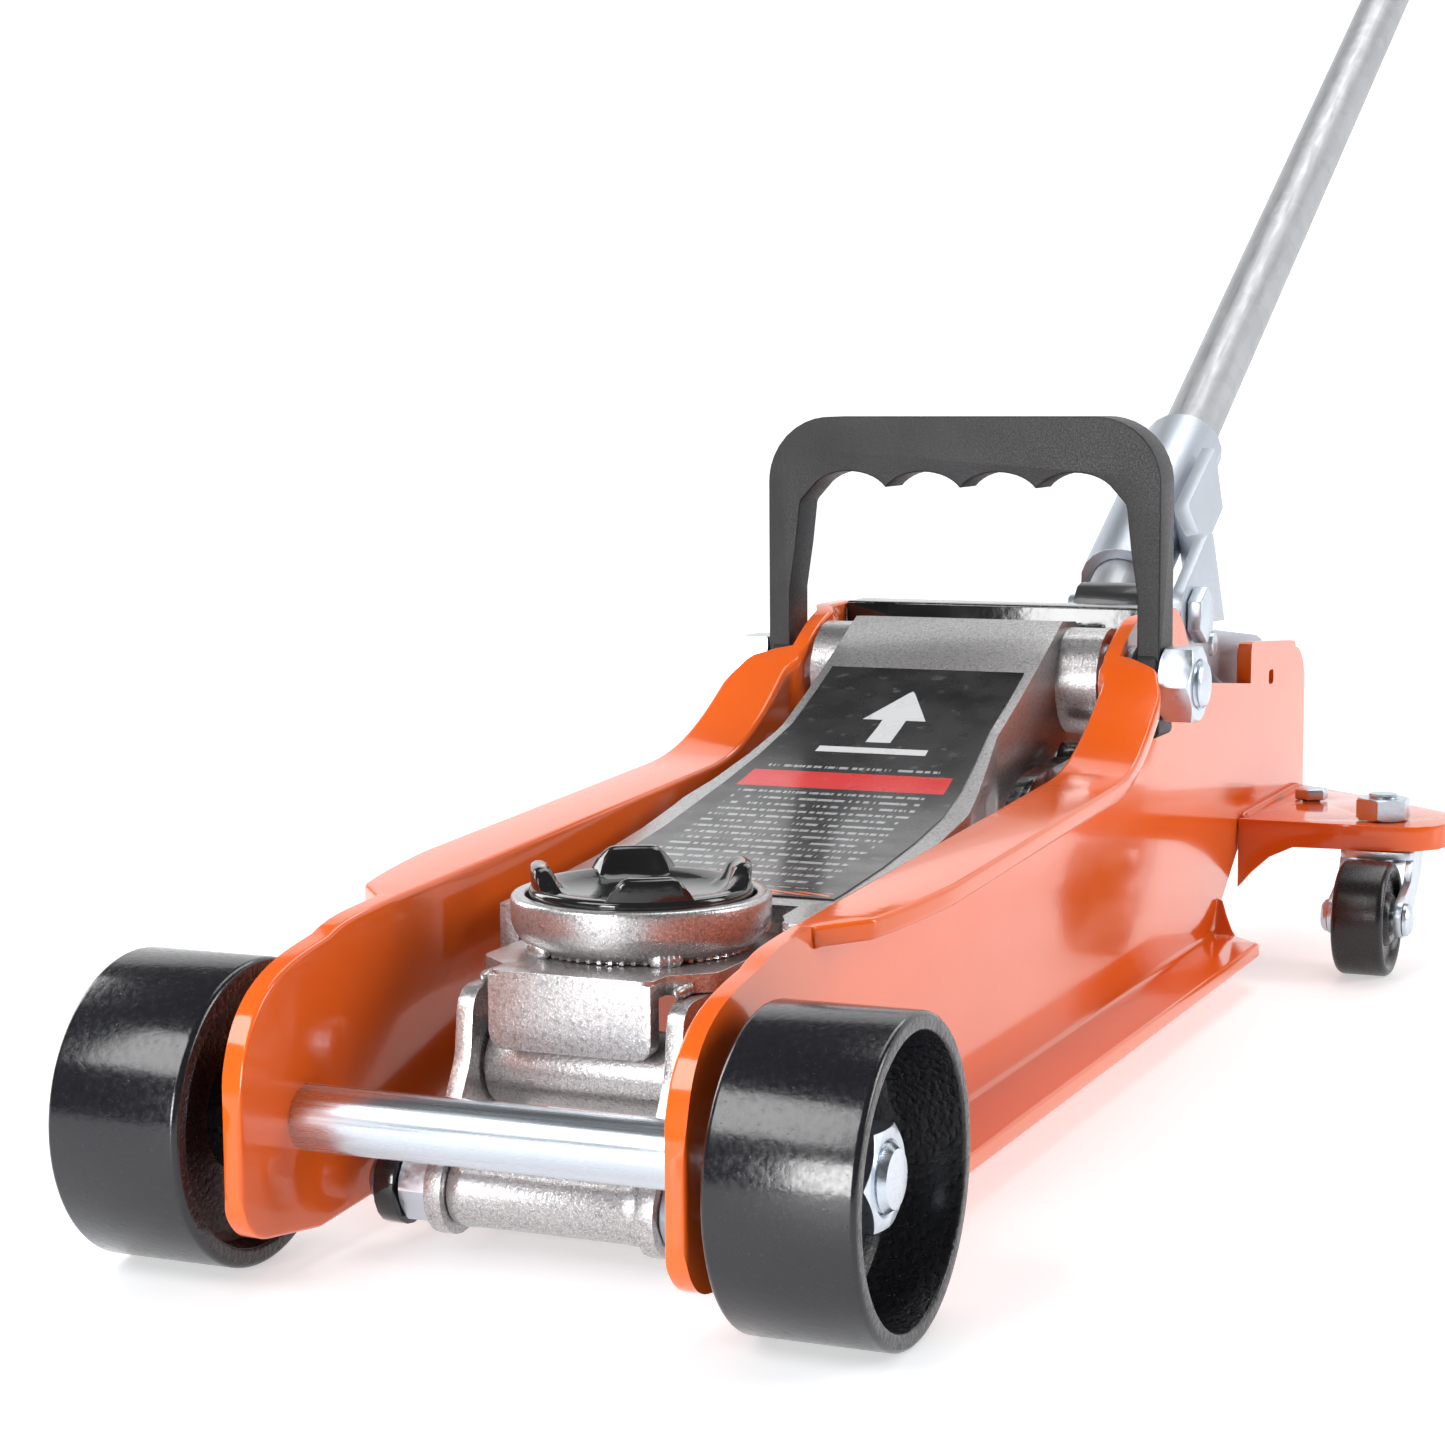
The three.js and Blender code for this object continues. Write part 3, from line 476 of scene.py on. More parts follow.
def arc(a: float, b: float, radius: float, start: float, end: float, steps: int) -> list[tuple[float, float]]:
    """Points on an arc about (a, b), from one angle in degrees to another."""
    angles = (math.radians(start + (end - start) * i / steps) for i in range(steps + 1))
    return [(a + radius * math.cos(t), b + radius * math.sin(t)) for t in angles]


def rounded(corners: Sequence[tuple[float, float, float]], steps: int) -> list[tuple[float, float]]:
    """A closed outline with its corners drawn as arcs.

    Args:
        corners: Each corner's place and its radius.
        steps: How many pieces make each arc.

    Returns:
        steps + 1 points for each corner.
    """
    points = []
    for i, (a, b, radius) in enumerate(corners):
        here = Vector((a, b))
        before = Vector(corners[i - 1][:2]) - here
        after = Vector(corners[(i + 1) % len(corners)][:2]) - here
        reach = min(before.length, after.length) * 0.49
        if reach < 1e-6 or radius <= 0 or before.angle(after) > math.radians(179.5):
            points += [(a, b)] * (steps + 1)
            continue
        half = before.angle(after) / 2
        radius = min(radius, reach * math.tan(half))
        start = before.normalized() * (radius / math.tan(half))
        end = after.normalized() * (radius / math.tan(half))
        centre = (before.normalized() + after.normalized()).normalized() * (radius / math.sin(half))
        for k in range(steps + 1):
            spoke = (start - centre).lerp(end - centre, k / steps).normalized() * radius
            points.append(tuple(here + centre + spoke))
    return points


def bezier(points: Sequence[tuple[float, float]], steps: int) -> np.ndarray:
    """Points on a cubic curve, given its two ends and two handles in order."""
    t = np.linspace(0, 1, steps + 1)[:, None]
    a, b, c, d = (np.array(p, float) for p in points)
    return (1 - t) ** 3 * a + 3 * (1 - t) ** 2 * t * b + 3 * (1 - t) * t**2 * c + t**3 * d


# ------------------------------------------------------------------ finishes


class Shader:
    """A material under construction, with short calls for the nodes it uses."""

    def __init__(self, name: str) -> None:
        """Starts a material that reads the piece's own coordinates.

        Args:
            name: The material's name.
        """
        self.material = bpy.data.materials.new(name)
        self.material.use_nodes = True
        self.nodes = self.material.node_tree.nodes
        self.links = self.material.node_tree.links
        self.surface = next(n for n in self.nodes if n.type == "BSDF_PRINCIPLED")
        self.coords = self.nodes.new("ShaderNodeTexCoord").outputs["Object"]

    def feed(self, socket: NodeSocket, value: object) -> None:
        """Links a socket into another, or sets its value.

        Args:
            socket: The input socket.
            value: An output socket, a colour or a number.
        """
        if isinstance(value, NodeSocket):
            self.links.new(value, socket)
        elif isinstance(value, tuple) and len(value) == 3 and socket.type == "RGBA":
            socket.default_value = (*value, 1.0)
        else:
            socket.default_value = value

    def stretched(self, scale: Triple) -> NodeSocket:
        """The coordinates scaled along each axis, for brushed and drawn marks."""
        node = self.nodes.new("ShaderNodeMapping")
        node.inputs["Scale"].default_value = scale
        self.links.new(self.coords, node.inputs["Vector"])
        return node.outputs["Vector"]

    def noise(self, scale: float, detail: float = 4.0, vector: NodeSocket | None = None) -> NodeSocket:
        """Cloudy variation from 0 to 1.

        Args:
            scale: Clouds in a metre.
            detail: How many finer layers lie over them.
            vector: The coordinates, where they aren't the piece's own.

        Returns:
            The variation.
        """
        node = self.nodes.new("ShaderNodeTexNoise")
        node.inputs["Scale"].default_value = scale
        node.inputs["Detail"].default_value = detail
        self.links.new(vector or self.coords, node.inputs["Vector"])
        return node.outputs["Fac"]

    def cells(self, scale: float, feature: str = "F1", output: str = "Distance") -> NodeSocket:
        """Cell pattern, such as hammered paint or zinc spangle.

        Args:
            scale: Cells in a metre.
            feature: The kind of distance.
            output: The output that is wanted.

        Returns:
            The pattern.
        """
        node = self.nodes.new("ShaderNodeTexVoronoi")
        node.feature = feature
        node.inputs["Scale"].default_value = scale
        self.links.new(self.coords, node.inputs["Vector"])
        return node.outputs[output]

    def ramp(
        self, value: NodeSocket, low: float, high: float, out: tuple[float, float] = (0.0, 1.0)
    ) -> NodeSocket:
        """A value stretched from one range to another, and held within it.

        Args:
            value: The value to stretch.
            low: What becomes the first end of the new range.
            high: What becomes the second end.
            out: The two ends of the new range.

        Returns:
            The stretched value.
        """
        node = self.nodes.new("ShaderNodeMapRange")
        node.inputs["From Min"].default_value = low
        node.inputs["From Max"].default_value = high
        node.inputs["To Min"].default_value = out[0]
        node.inputs["To Max"].default_value = out[1]
        self.links.new(value, node.inputs["Value"])
        return node.outputs["Result"]

    def math(self, operation: str, a: object, b: object = 0.0) -> NodeSocket:
        """One step of arithmetic.

        Args:
            operation: Its name.
            a: The first value.
            b: The second value.

        Returns:
            The result.
        """
        node = self.nodes.new("ShaderNodeMath")
        node.operation = operation
        self.feed(node.inputs[0], a)
        self.feed(node.inputs[1], b)
        return node.outputs[0]

    def mix(self, share: NodeSocket, a: object, b: object) -> NodeSocket:
        """Mixes two colours.

        Args:
            share: How much of the second one shows, from 0 to 1.
            a: The first colour.
            b: The second colour.

        Returns:
            The mixed colour.
        """
        node = self.nodes.new("ShaderNodeMix")
        node.data_type = "RGBA"
        self.feed(node.inputs["Factor"], share)
        colours = [s for s in node.inputs if s.type == "RGBA"]
        self.feed(colours[0], a)
        self.feed(colours[1], b)
        return next(s for s in node.outputs if s.type == "RGBA")

    def edges(self, low: float, high: float) -> NodeSocket:
        """1 on outer edges and 0 elsewhere."""
        return self.ramp(self.nodes.new("ShaderNodeNewGeometry").outputs["Pointiness"], low, high)

    def bump(
        self, height: NodeSocket, depth: float, strength: float = 1.0, under: NodeSocket | None = None
    ) -> NodeSocket:
        """A raised surface.

        Args:
            height: 0 to 1 over the surface.
            depth: How high 1 stands, in metres.
            strength: How much of it shows.
            under: A raised surface that this one lies over.

        Returns:
            The normal of the surface.
        """
        node = self.nodes.new("ShaderNodeBump")
        node.inputs["Strength"].default_value = strength
        node.inputs["Distance"].default_value = depth
        self.links.new(height, node.inputs["Height"])
        if under:
            self.links.new(under, node.inputs["Normal"])
        return node.outputs["Normal"]

    def set(self, **sockets: object) -> None:
        """Feeds the surface's sockets, named with _ for a space."""
        for key, value in sockets.items():
            self.feed(self.surface.inputs[key.replace("_", " ")], value)


@dataclass(frozen=True)
class Enamel:
    """Gloss paint on steel, with orange peel, dust in the film, and chips on the edges."""

    name: str
    colour: Colour
    shade: Colour
    under: Colour
    roughness: tuple[float, float] = (0.16, 0.3)
    peel: float = 0.06
    chips: float = 0.5

    def make(self) -> Material:
        """Builds the material."""
        s = Shader(self.name)
        drift = s.ramp(s.noise(9, 5), 0.35, 0.7)
        body = s.mix(drift, self.colour, self.shade)
        breaks = s.ramp(s.noise(420, 6), 0.52, 0.6)
        worn = s.math("MULTIPLY", s.edges(0.56, 0.66), breaks)
        worn = s.math("MULTIPLY", worn, self.chips)
        s.set(Base_Color=s.mix(worn, body, self.under))
        s.set(Metallic=s.math("MULTIPLY", worn, 0.8))
        scuffs = s.ramp(s.noise(60, 8, s.stretched((1.0, 0.25, 1.0))), 0.4, 0.75, self.roughness)
        s.set(Roughness=scuffs, Coat_Weight=0.35, Coat_Roughness=0.05, IOR=1.45)
        peel = s.bump(s.noise(380, 2), self.peel * MM, 0.5)
        s.set(Normal=s.bump(s.cells(900), 0.01 * MM, 0.25, peel))
        return s.material


@dataclass(frozen=True)
class Hammertone:
    """Silver-grey hammered paint: fine round cells with a bright metallic flake."""

    name: str
    colour: Colour = (0.44, 0.43, 0.435)
    hollow: Colour = (0.25, 0.24, 0.245)
    flake: Colour = (0.72, 0.71, 0.71)
    cell: float = 1250.0

    def make(self) -> Material:
        """Builds the material."""
        s = Shader(self.name)
        dimples = s.cells(self.cell, "SMOOTH_F1")
        glint = s.ramp(s.noise(2700, 2), 0.5, 0.64)
        cloud = s.ramp(s.noise(28, 4), 0.4, 0.8)
        tone = s.mix(s.ramp(dimples, 0.35, 0.8), self.colour, self.hollow)
        tone = s.mix(s.math("MULTIPLY", glint, 0.75), tone, self.flake)
        tone = s.mix(s.math("MULTIPLY", cloud, 0.12), tone, (0.42, 0.38, 0.37))
        s.set(Base_Color=tone, Metallic=0.78, Roughness=s.ramp(glint, 0.0, 1.0, (0.34, 0.26)))
        s.set(Coat_Weight=0.45, Coat_Roughness=0.12)
        s.set(Normal=s.bump(glint, 0.03 * MM, 0.35, s.bump(dimples, 0.09 * MM, 0.5)))
        return s.material


@dataclass(frozen=True)
class Plated:
    """Zinc plate or galvanising, with drawn marks along one axis and faint stains."""

    name: str
    colour: Colour = (0.63, 0.69, 0.76)
    stain: Colour = (0.52, 0.55, 0.57)
    grain: Triple = (1.0, 1.0, 1.0)
    roughness: tuple[float, float] = (0.27, 0.44)
    spangle: float = 0.0

    def make(self) -> Material:
        """Builds the material."""
        s = Shader(self.name)
        marks = s.noise(900, 3, s.stretched(self.grain))
        cloud = s.ramp(s.noise(38, 3), 0.35, 0.8)
        tone = s.mix(s.math("MULTIPLY", cloud, 0.3), self.colour, self.stain)
        if self.spangle:
            flake = s.ramp(s.cells(160, output="Color"), 0.2, 0.8)
            tone = s.mix(s.math("MULTIPLY", flake, self.spangle), tone, (0.34, 0.36, 0.38))
        s.set(Base_Color=tone, Metallic=1.0, Roughness=s.ramp(marks, 0.3, 0.7, self.roughness))
        s.set(Normal=s.bump(s.noise(1800, 2), 0.006 * MM, 0.25, s.bump(marks, 0.012 * MM, 0.4)))
        return s.material


@dataclass(frozen=True)
class CastIron:
    """Cast iron under thin black paint: rough sand-cast skin with pin holes."""

    name: str
    colour: Colour = (0.009, 0.009, 0.012)
    grit: float = 0.5
    shine: tuple[float, float] = (0.16, 0.34)

    def make(self) -> Material:
        """Builds the material."""
        s = Shader(self.name)
        sand = s.noise(700, 6)
        pits = s.ramp(s.cells(420), 0.0, 0.16)
        dust = s.ramp(s.noise(2600, 2), 0.68, 0.8)
        tone = s.mix(s.math("MULTIPLY", dust, 0.35), self.colour, (0.16, 0.16, 0.17))
        s.set(Base_Color=s.mix(s.edges(0.56, 0.68), tone, (0.05, 0.05, 0.052)))
        s.set(Roughness=s.ramp(sand, 0.35, 0.7, self.shine), Coat_Weight=0.3, Coat_Roughness=0.12, IOR=1.45)
        rough = s.bump(sand, 0.5 * MM, self.grit)
        s.set(Normal=s.bump(pits, 0.3 * MM, self.grit, rough))
        return s.material


@dataclass(frozen=True)
class Moulded:
    """Moulded plastic or rubber with a fine spark-eroded grain."""

    name: str
    colour: Colour
    bright: Colour
    roughness: tuple[float, float] = (0.42, 0.62)
    grain: float = 0.12

    def make(self) -> Material:
        """Builds the material."""
        s = Shader(self.name)
        grain = s.noise(1700, 4)
        haze = s.ramp(s.noise(55, 5), 0.35, 0.75)
        tone = s.mix(haze, self.colour, self.bright)
        rubbed = s.math("MULTIPLY", s.edges(0.53, 0.62), 0.45)
        s.set(Base_Color=s.mix(rubbed, tone, (0.1, 0.1, 0.105)))
        s.set(Roughness=s.ramp(grain, 0.35, 0.7, self.roughness), IOR=1.47)
        s.set(Normal=s.bump(grain, self.grain * MM, 0.6))
        return s.material


@dataclass(frozen=True)
class Decal:
    """A printed film: black ground, a red band, pale rule lines and slashes at one end."""

    name: str
    ink: Colour = (0.012, 0.012, 0.013)
    pale: Colour = (0.62, 0.63, 0.64)
    red: Colour = (0.62, 0.02, 0.018)
    orange: Colour = (0.87, 0.16, 0.02)
    lines: float = 38.0

    def make(self) -> Material:
        """Builds the material."""
        s = Shader(self.name)
        uv = s.nodes.new("ShaderNodeUVMap")
        uv.uv_map = "skin"
        parts = s.nodes.new("ShaderNodeSeparateXYZ")
        s.links.new(uv.outputs["UV"], parts.inputs["Vector"])
        u, v = parts.outputs["X"], parts.outputs["Y"]

        def between(value: NodeSocket, low: float, high: float) -> NodeSocket:
            """1 where a value lies between two limits."""
            above = s.math("GREATER_THAN", value, low)
            return s.math("MULTIPLY", above, s.math("LESS_THAN", value, high))

        def all_of(*shares: NodeSocket) -> NodeSocket:
            """The product of several shares."""
            result = shares[0]
            for share in shares[1:]:
                result = s.math("MULTIPLY", result, share)
            return result

        row = s.math("FLOOR", s.math("MULTIPLY", v, self.lines))
        dash = s.nodes.new("ShaderNodeCombineXYZ")
        s.feed(dash.inputs["X"], s.math("MULTIPLY", u, 64.0))
        s.feed(dash.inputs["Y"], s.math("MULTIPLY", row, 7.31))
        words = s.math("GREATER_THAN", s.noise(1.0, 1, dash.outputs["Vector"]), 0.47)
        stripe = between(s.math("FRACT", s.math("MULTIPLY", v, self.lines)), 0.34, 0.68)
        rules = all_of(words, stripe, between(u, 0.1, 0.88), between(v, 0.12, 0.64))
        away = s.math("ABSOLUTE", s.math("SUBTRACT", u, 0.5))
        arrow = all_of(
            s.math("LESS_THAN", away, s.math("MULTIPLY", s.math("SUBTRACT", 0.9, v), 1.6)),
            between(v, 0.8, 0.9),
        )
        stem = all_of(s.math("LESS_THAN", away, 0.06), between(v, 0.72, 0.81))
        base = all_of(s.math("LESS_THAN", away, 0.26), between(v, 0.68, 0.7))
        sign = s.math("MAXIMUM", s.math("MAXIMUM", arrow, stem), base)
        band = all_of(between(v, 0.535, 0.6), between(u, 0.06, 0.94))
        slash = s.math("FRACT", s.math("ADD", s.math("MULTIPLY", u, 9.0), s.math("MULTIPLY", v, 22.0)))
        hazard = all_of(s.math("GREATER_THAN", slash, 0.5), between(v, 0.03, 0.1), between(u, 0.3, 0.97))
        tone = s.mix(s.math("MULTIPLY", rules, 0.55), self.ink, self.pale)
        tone = s.mix(sign, tone, self.pale)
        tone = s.mix(band, tone, self.red)
        tone = s.mix(hazard, tone, self.orange)
        scuff = s.ramp(s.noise(220, 7), 0.62, 0.72)
        s.set(Base_Color=s.mix(s.math("MULTIPLY", scuff, 0.3), tone, (0.2, 0.2, 0.2)))
        s.set(Roughness=s.ramp(s.noise(90, 5), 0.3, 0.7, (0.2, 0.36)), Coat_Weight=0.4, Coat_Roughness=0.12)
        s.set(Normal=s.bump(s.noise(140, 2), 0.05 * MM, 0.4))
        return s.material


class Finishes:
    """The workshop's materials, each made the first time that a piece asks for it."""

    recipes = {
        "orange_paint": Enamel(
            "orange_enamel", (0.85, 0.135, 0.013), (0.79, 0.112, 0.01), (0.4, 0.39, 0.38), (0.1, 0.22)
        ),
        "black_paint": Enamel(
            "black_enamel", (0.009, 0.009, 0.01), (0.013, 0.013, 0.014), (0.3, 0.3, 0.3), (0.1, 0.22),
            peel=0.1, chips=0.4,
        ),
        "hammertone": Hammertone("hammertone"),
        "zinc": Plated("bright_zinc"),
        "axle_zinc": Plated("drawn_zinc", grain=(0.02, 1.0, 1.0), roughness=(0.2, 0.34)),
        "satin_zinc": Plated("satin_zinc", (0.52, 0.56, 0.62), (0.44, 0.47, 0.5), roughness=(0.38, 0.5)),
        "galvanised": Plated(
            "galvanised_tube", (0.5, 0.51, 0.52), (0.42, 0.43, 0.44), (1.0, 0.06, 0.06), (0.44, 0.62), 0.3
        ),
        "unit_steel": Enamel(
            "unit_paint", (0.02, 0.02, 0.022), (0.03, 0.03, 0.033), (0.25, 0.25, 0.25), (0.3, 0.5), 0.2, 0.6
        ),
        "spring_steel": Plated("spring_steel", (0.3, 0.3, 0.31), (0.18, 0.16, 0.14), roughness=(0.3, 0.5)),
        "wheel_black": CastIron("wheel_face", grit=0.12, shine=(0.14, 0.28)),
        "wheel_cast": CastIron("wheel_cast_skin", grit=0.9, shine=(0.22, 0.5)),
        "caster_plastic": Moulded(
            "caster_nylon", (0.012, 0.012, 0.013), (0.02, 0.02, 0.021), (0.22, 0.36), 0.04
        ),
        "handle_plastic": Moulded("handle_plastic", (0.013, 0.013, 0.014), (0.024, 0.024, 0.027)),
        "grip_rubber": Moulded("grip_rubber", (0.014, 0.014, 0.015), (0.03, 0.03, 0.03), (0.6, 0.8), 0.2),
        "decal": Decal("warning_decal"),
    }

    def __init__(self) -> None:
        """Starts with nothing made."""
        self.made: dict[str, Material] = {}

    def get(self, name: str) -> Material:
        """The material of that name."""
        if name not in self.made:
            self.made[name] = self.recipes[name].make()
        return self.made[name]

    def dress(self, piece: Object, name: str, slot: str | None = None) -> Object:
        """Gives a piece one finish all over.

        Args:
            piece: The piece.
            name: The finish.
            slot: Not used.

        Returns:
            The same piece.
        """
        piece.data.materials.clear()
        piece.data.materials.append(self.get(name))
        return piece


# ------------------------------------------------------------------ sub-assemblies


@dataclass
class SubAssembly:
    """What every sub-assembly of the jack shares: its finishes and its list of pieces."""

    finishes: Finishes
    pieces: list[Object] = field(default_factory=list)

    def fit(self, piece: Object, body: str, finish: str, slot: str | None = None) -> Object:
        """Dresses a finished piece and lets it ride on its body.

        Args:
            piece: The piece, with its place in its mesh.
            body: The frame body that carries it.
            finish: The name of its finish.
            slot: A second name, handed on to Finishes.dress.

        Returns:
            The same piece.
        """
        self.finishes.dress(piece, finish, slot)
        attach(piece, body)
        self.pieces.append(piece)
        return piece

    def build(self) -> None:
        """Builds and dresses the pieces."""
        raise NotImplementedError

    def report(self) -> None:
        """Logs each piece with its size in millimetres."""
        for piece in self.pieces:
            size = " x ".join(f"{d / MM:.0f}" for d in piece.dimensions)
            faces = len(piece.data.polygons)
            LOG.info("%s: %s (%s mm, %d faces)", type(self).__name__, piece.name, size, faces)


@dataclass
class SidePlates(SubAssembly):
    """The two pressed side plates: a web with a flange turned out above and below."""

    inner: float = 50.0
    thickness: float = 5.0
    bend: float = 7.0
    nose: float = -27.0
    rear: float = 531.0
    hump: float = 126.5
    edge: float = 1.1
    rows: int = 26
    flange_plan: tuple = ((42, 54, 66, 82, 92, 240, 280, 290, 295), (0, 10.5, 13, 15, 16, 16, 14, 10, 0))
    foot_plan: tuple = ((44, 50, 60, 388, 406), (0, 8, 18, 18, 0))
    pivot: tuple[float, float] = (308.5, 106.6)
    boss_depth: float = 2.8
    boss_radius: float = 24.0

    def top(self, y: np.ndarray) -> np.ndarray:
        """Height of the plate's top edge.

        Args:
            y: Distances behind the axle.

        Returns:
            The height at each distance.
        """
        nose = bezier([(self.nose, 38), (self.nose, 68), (-8, 71), (12, 74)], 24)
        lead = bezier([(12, 74), (20, 77), (26, 77), (42, 78)], 8)
        sweep = bezier([(228, 86.5), (272, 88), (294, self.hump), (326, self.hump)], 40)
        scoop = bezier([(344, self.hump), (362, 124.5), (362, 105), (386, 99)], 16)
        tail = [(446.6, 93), (447, 104), (448, 106.3), (450, 107), (505, 103), (514, 102)]
        tail += arc(513, 82, 18, 88, 4, 10)
        edge = np.vstack([nose, lead[1:], sweep, scoop, tail])
        return np.interp(y, edge[:, 0], edge[:, 1])

    def bottom(self, y: np.ndarray) -> np.ndarray:
        """Height of the plate's bottom edge.

        Args:
            y: Distances behind the axle.

        Returns:
            The height at each distance.
        """
        corner = arc(self.nose + 13, 24, 13, 180, 262, 10)
        edge = corner + [(6, 8), (28, 9.5), (398, 9.5), (401, 13), (404, 20)]
        edge += [(431, 38), (437, 41), (445, 42), (self.rear, 42)]
        a, b = np.array(edge).T
        return np.interp(y, a, b)

    def section(self, y: float, pinch: float = 0.0) -> list[Vector]:
        """The plate's closed section at one distance behind the axle.

        Args:
            y: Distance behind the axle.
            pinch: How far the section draws in all round, for the rounded ends of the plate.

        Returns:
            The points of the section, as many at every distance.
        """
        edge, thick = max(self.edge - pinch, 0.1), self.thickness
        top, bottom = float(self.top(np.array(y))), float(self.bottom(np.array(y)))
        slope = abs(float(self.top(np.array(y + 1.0))) - float(self.top(np.array(y - 1.0)))) / 2
        over = float(np.interp(y, *self.flange_plan))
        under = float(np.interp(y, *self.foot_plan))
        lid = thick * math.hypot(1.0, min(slope, 1.2)) if over else thick
        inside, outside = self.inner + pinch, self.inner + thick - pinch
        top, bottom = top - pinch, bottom + pinch
        lip, foot = outside + over, outside + under
        upper, lower = min(self.bend, edge + over), min(self.bend, edge + under)
        corners = [(foot, bottom, edge), (inside, bottom, lower)]
        corners += [(inside, bottom + (top - bottom) * i / self.rows, 0.0) for i in range(1, self.rows)]
        corners += [(inside, top, upper), (lip, top, edge)]
        floor, shelf = (bottom + thick, top - lid)
        if not over:
            shelf = top
        if not under:
            floor = bottom
        corners += [(lip, shelf, edge if over else 0.0), (outside, shelf, 2.4 if over else 0.0)]
        corners += [(outside, shelf + (floor - shelf) * i / self.rows, 0.0) for i in range(1, self.rows)]
        corners += [(outside, floor, 4.0 if under else 0.0), (foot, floor, edge if under else 0.0)]
        return [at(x + self.pressing(x, y, z), y, z) for x, z in rounded(corners, 4)]

    def pressing(self, x: float, y: float, z: float) -> float:
        """How far the web is pressed round the pivot.

        Args:
            x: The point's distance from the middle plane.
            y: Its distance behind the axle.
            z: Its height.

        Returns:
            The shift along X, towards the middle.
        """
        if x > self.inner + self.thickness + 0.01:
            return 0.0
        reach = math.hypot(y - self.pivot[0], z - self.pivot[1])
        share = min(max((self.boss_radius - reach) / 5.0, 0.0), 1.0)
        return -self.boss_depth * share * share * (3 - 2 * share)

    def stations(self) -> list[tuple[float, float]]:
        """Distances behind the axle at which the plate gets a section, with the pinch at each."""
        ends = [(0.0, self.edge), (0.15, 0.65), (0.4, 0.35), (0.8, 0.1), (1.3, 0.0)]
        front = [(self.nose + step, pinch) for step, pinch in ends]
        rear = [(self.rear - step, pinch) for step, pinch in reversed(ends)]
        spans = ((-25, -15, 1.0), (-15, 12, 3.0), (12, 41, 4.0), (41.6, 62, 1.2), (62, 240, 8.0))
        spans += ((240, 284, 3.0), (284, 334, 1.6), (334, 404, 2.2), (404, 446, 5.0), (450, 512, 8.0))
        spans += ((513, 529, 1.6),)
        places = [float(y) for low, high, step in spans for y in np.arange(low, high, step)]
        middle_run = sorted(set(places + [42.0, 44.0, 295.0, 295.2, 388.0, 406.0, 446.6, 447.0, 448.0]))
        return front + [(y, 0.0) for y in middle_run] + rear

    def build(self) -> None:
        """Builds the right plate, and the left one as its mirror image."""
        rows = [self.section(y, pinch) for y, pinch in self.stations()]
        plate = lofted("side_plate_skin_right", rows, closed=True)
        corners = [(473, 90, 1.5), (480, 90, 1.5), (480, 95, 1.5), (473, 95, 1.5)]
        outline = [at(40, y, z) for y, z in rounded(corners, 3)]
        combine(plate, pressed("slot", outline, RIGHT * 30 * MM), "DIFFERENCE")
        twin = mirrored(plate, "side_plate_skin_left")
        for side, piece in ((Side.RIGHT, plate), (Side.LEFT, twin)):
            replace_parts(smooth(piece, 40), f"side_plate_{side.word}")
            self.fit(piece, "frame", "orange_paint")


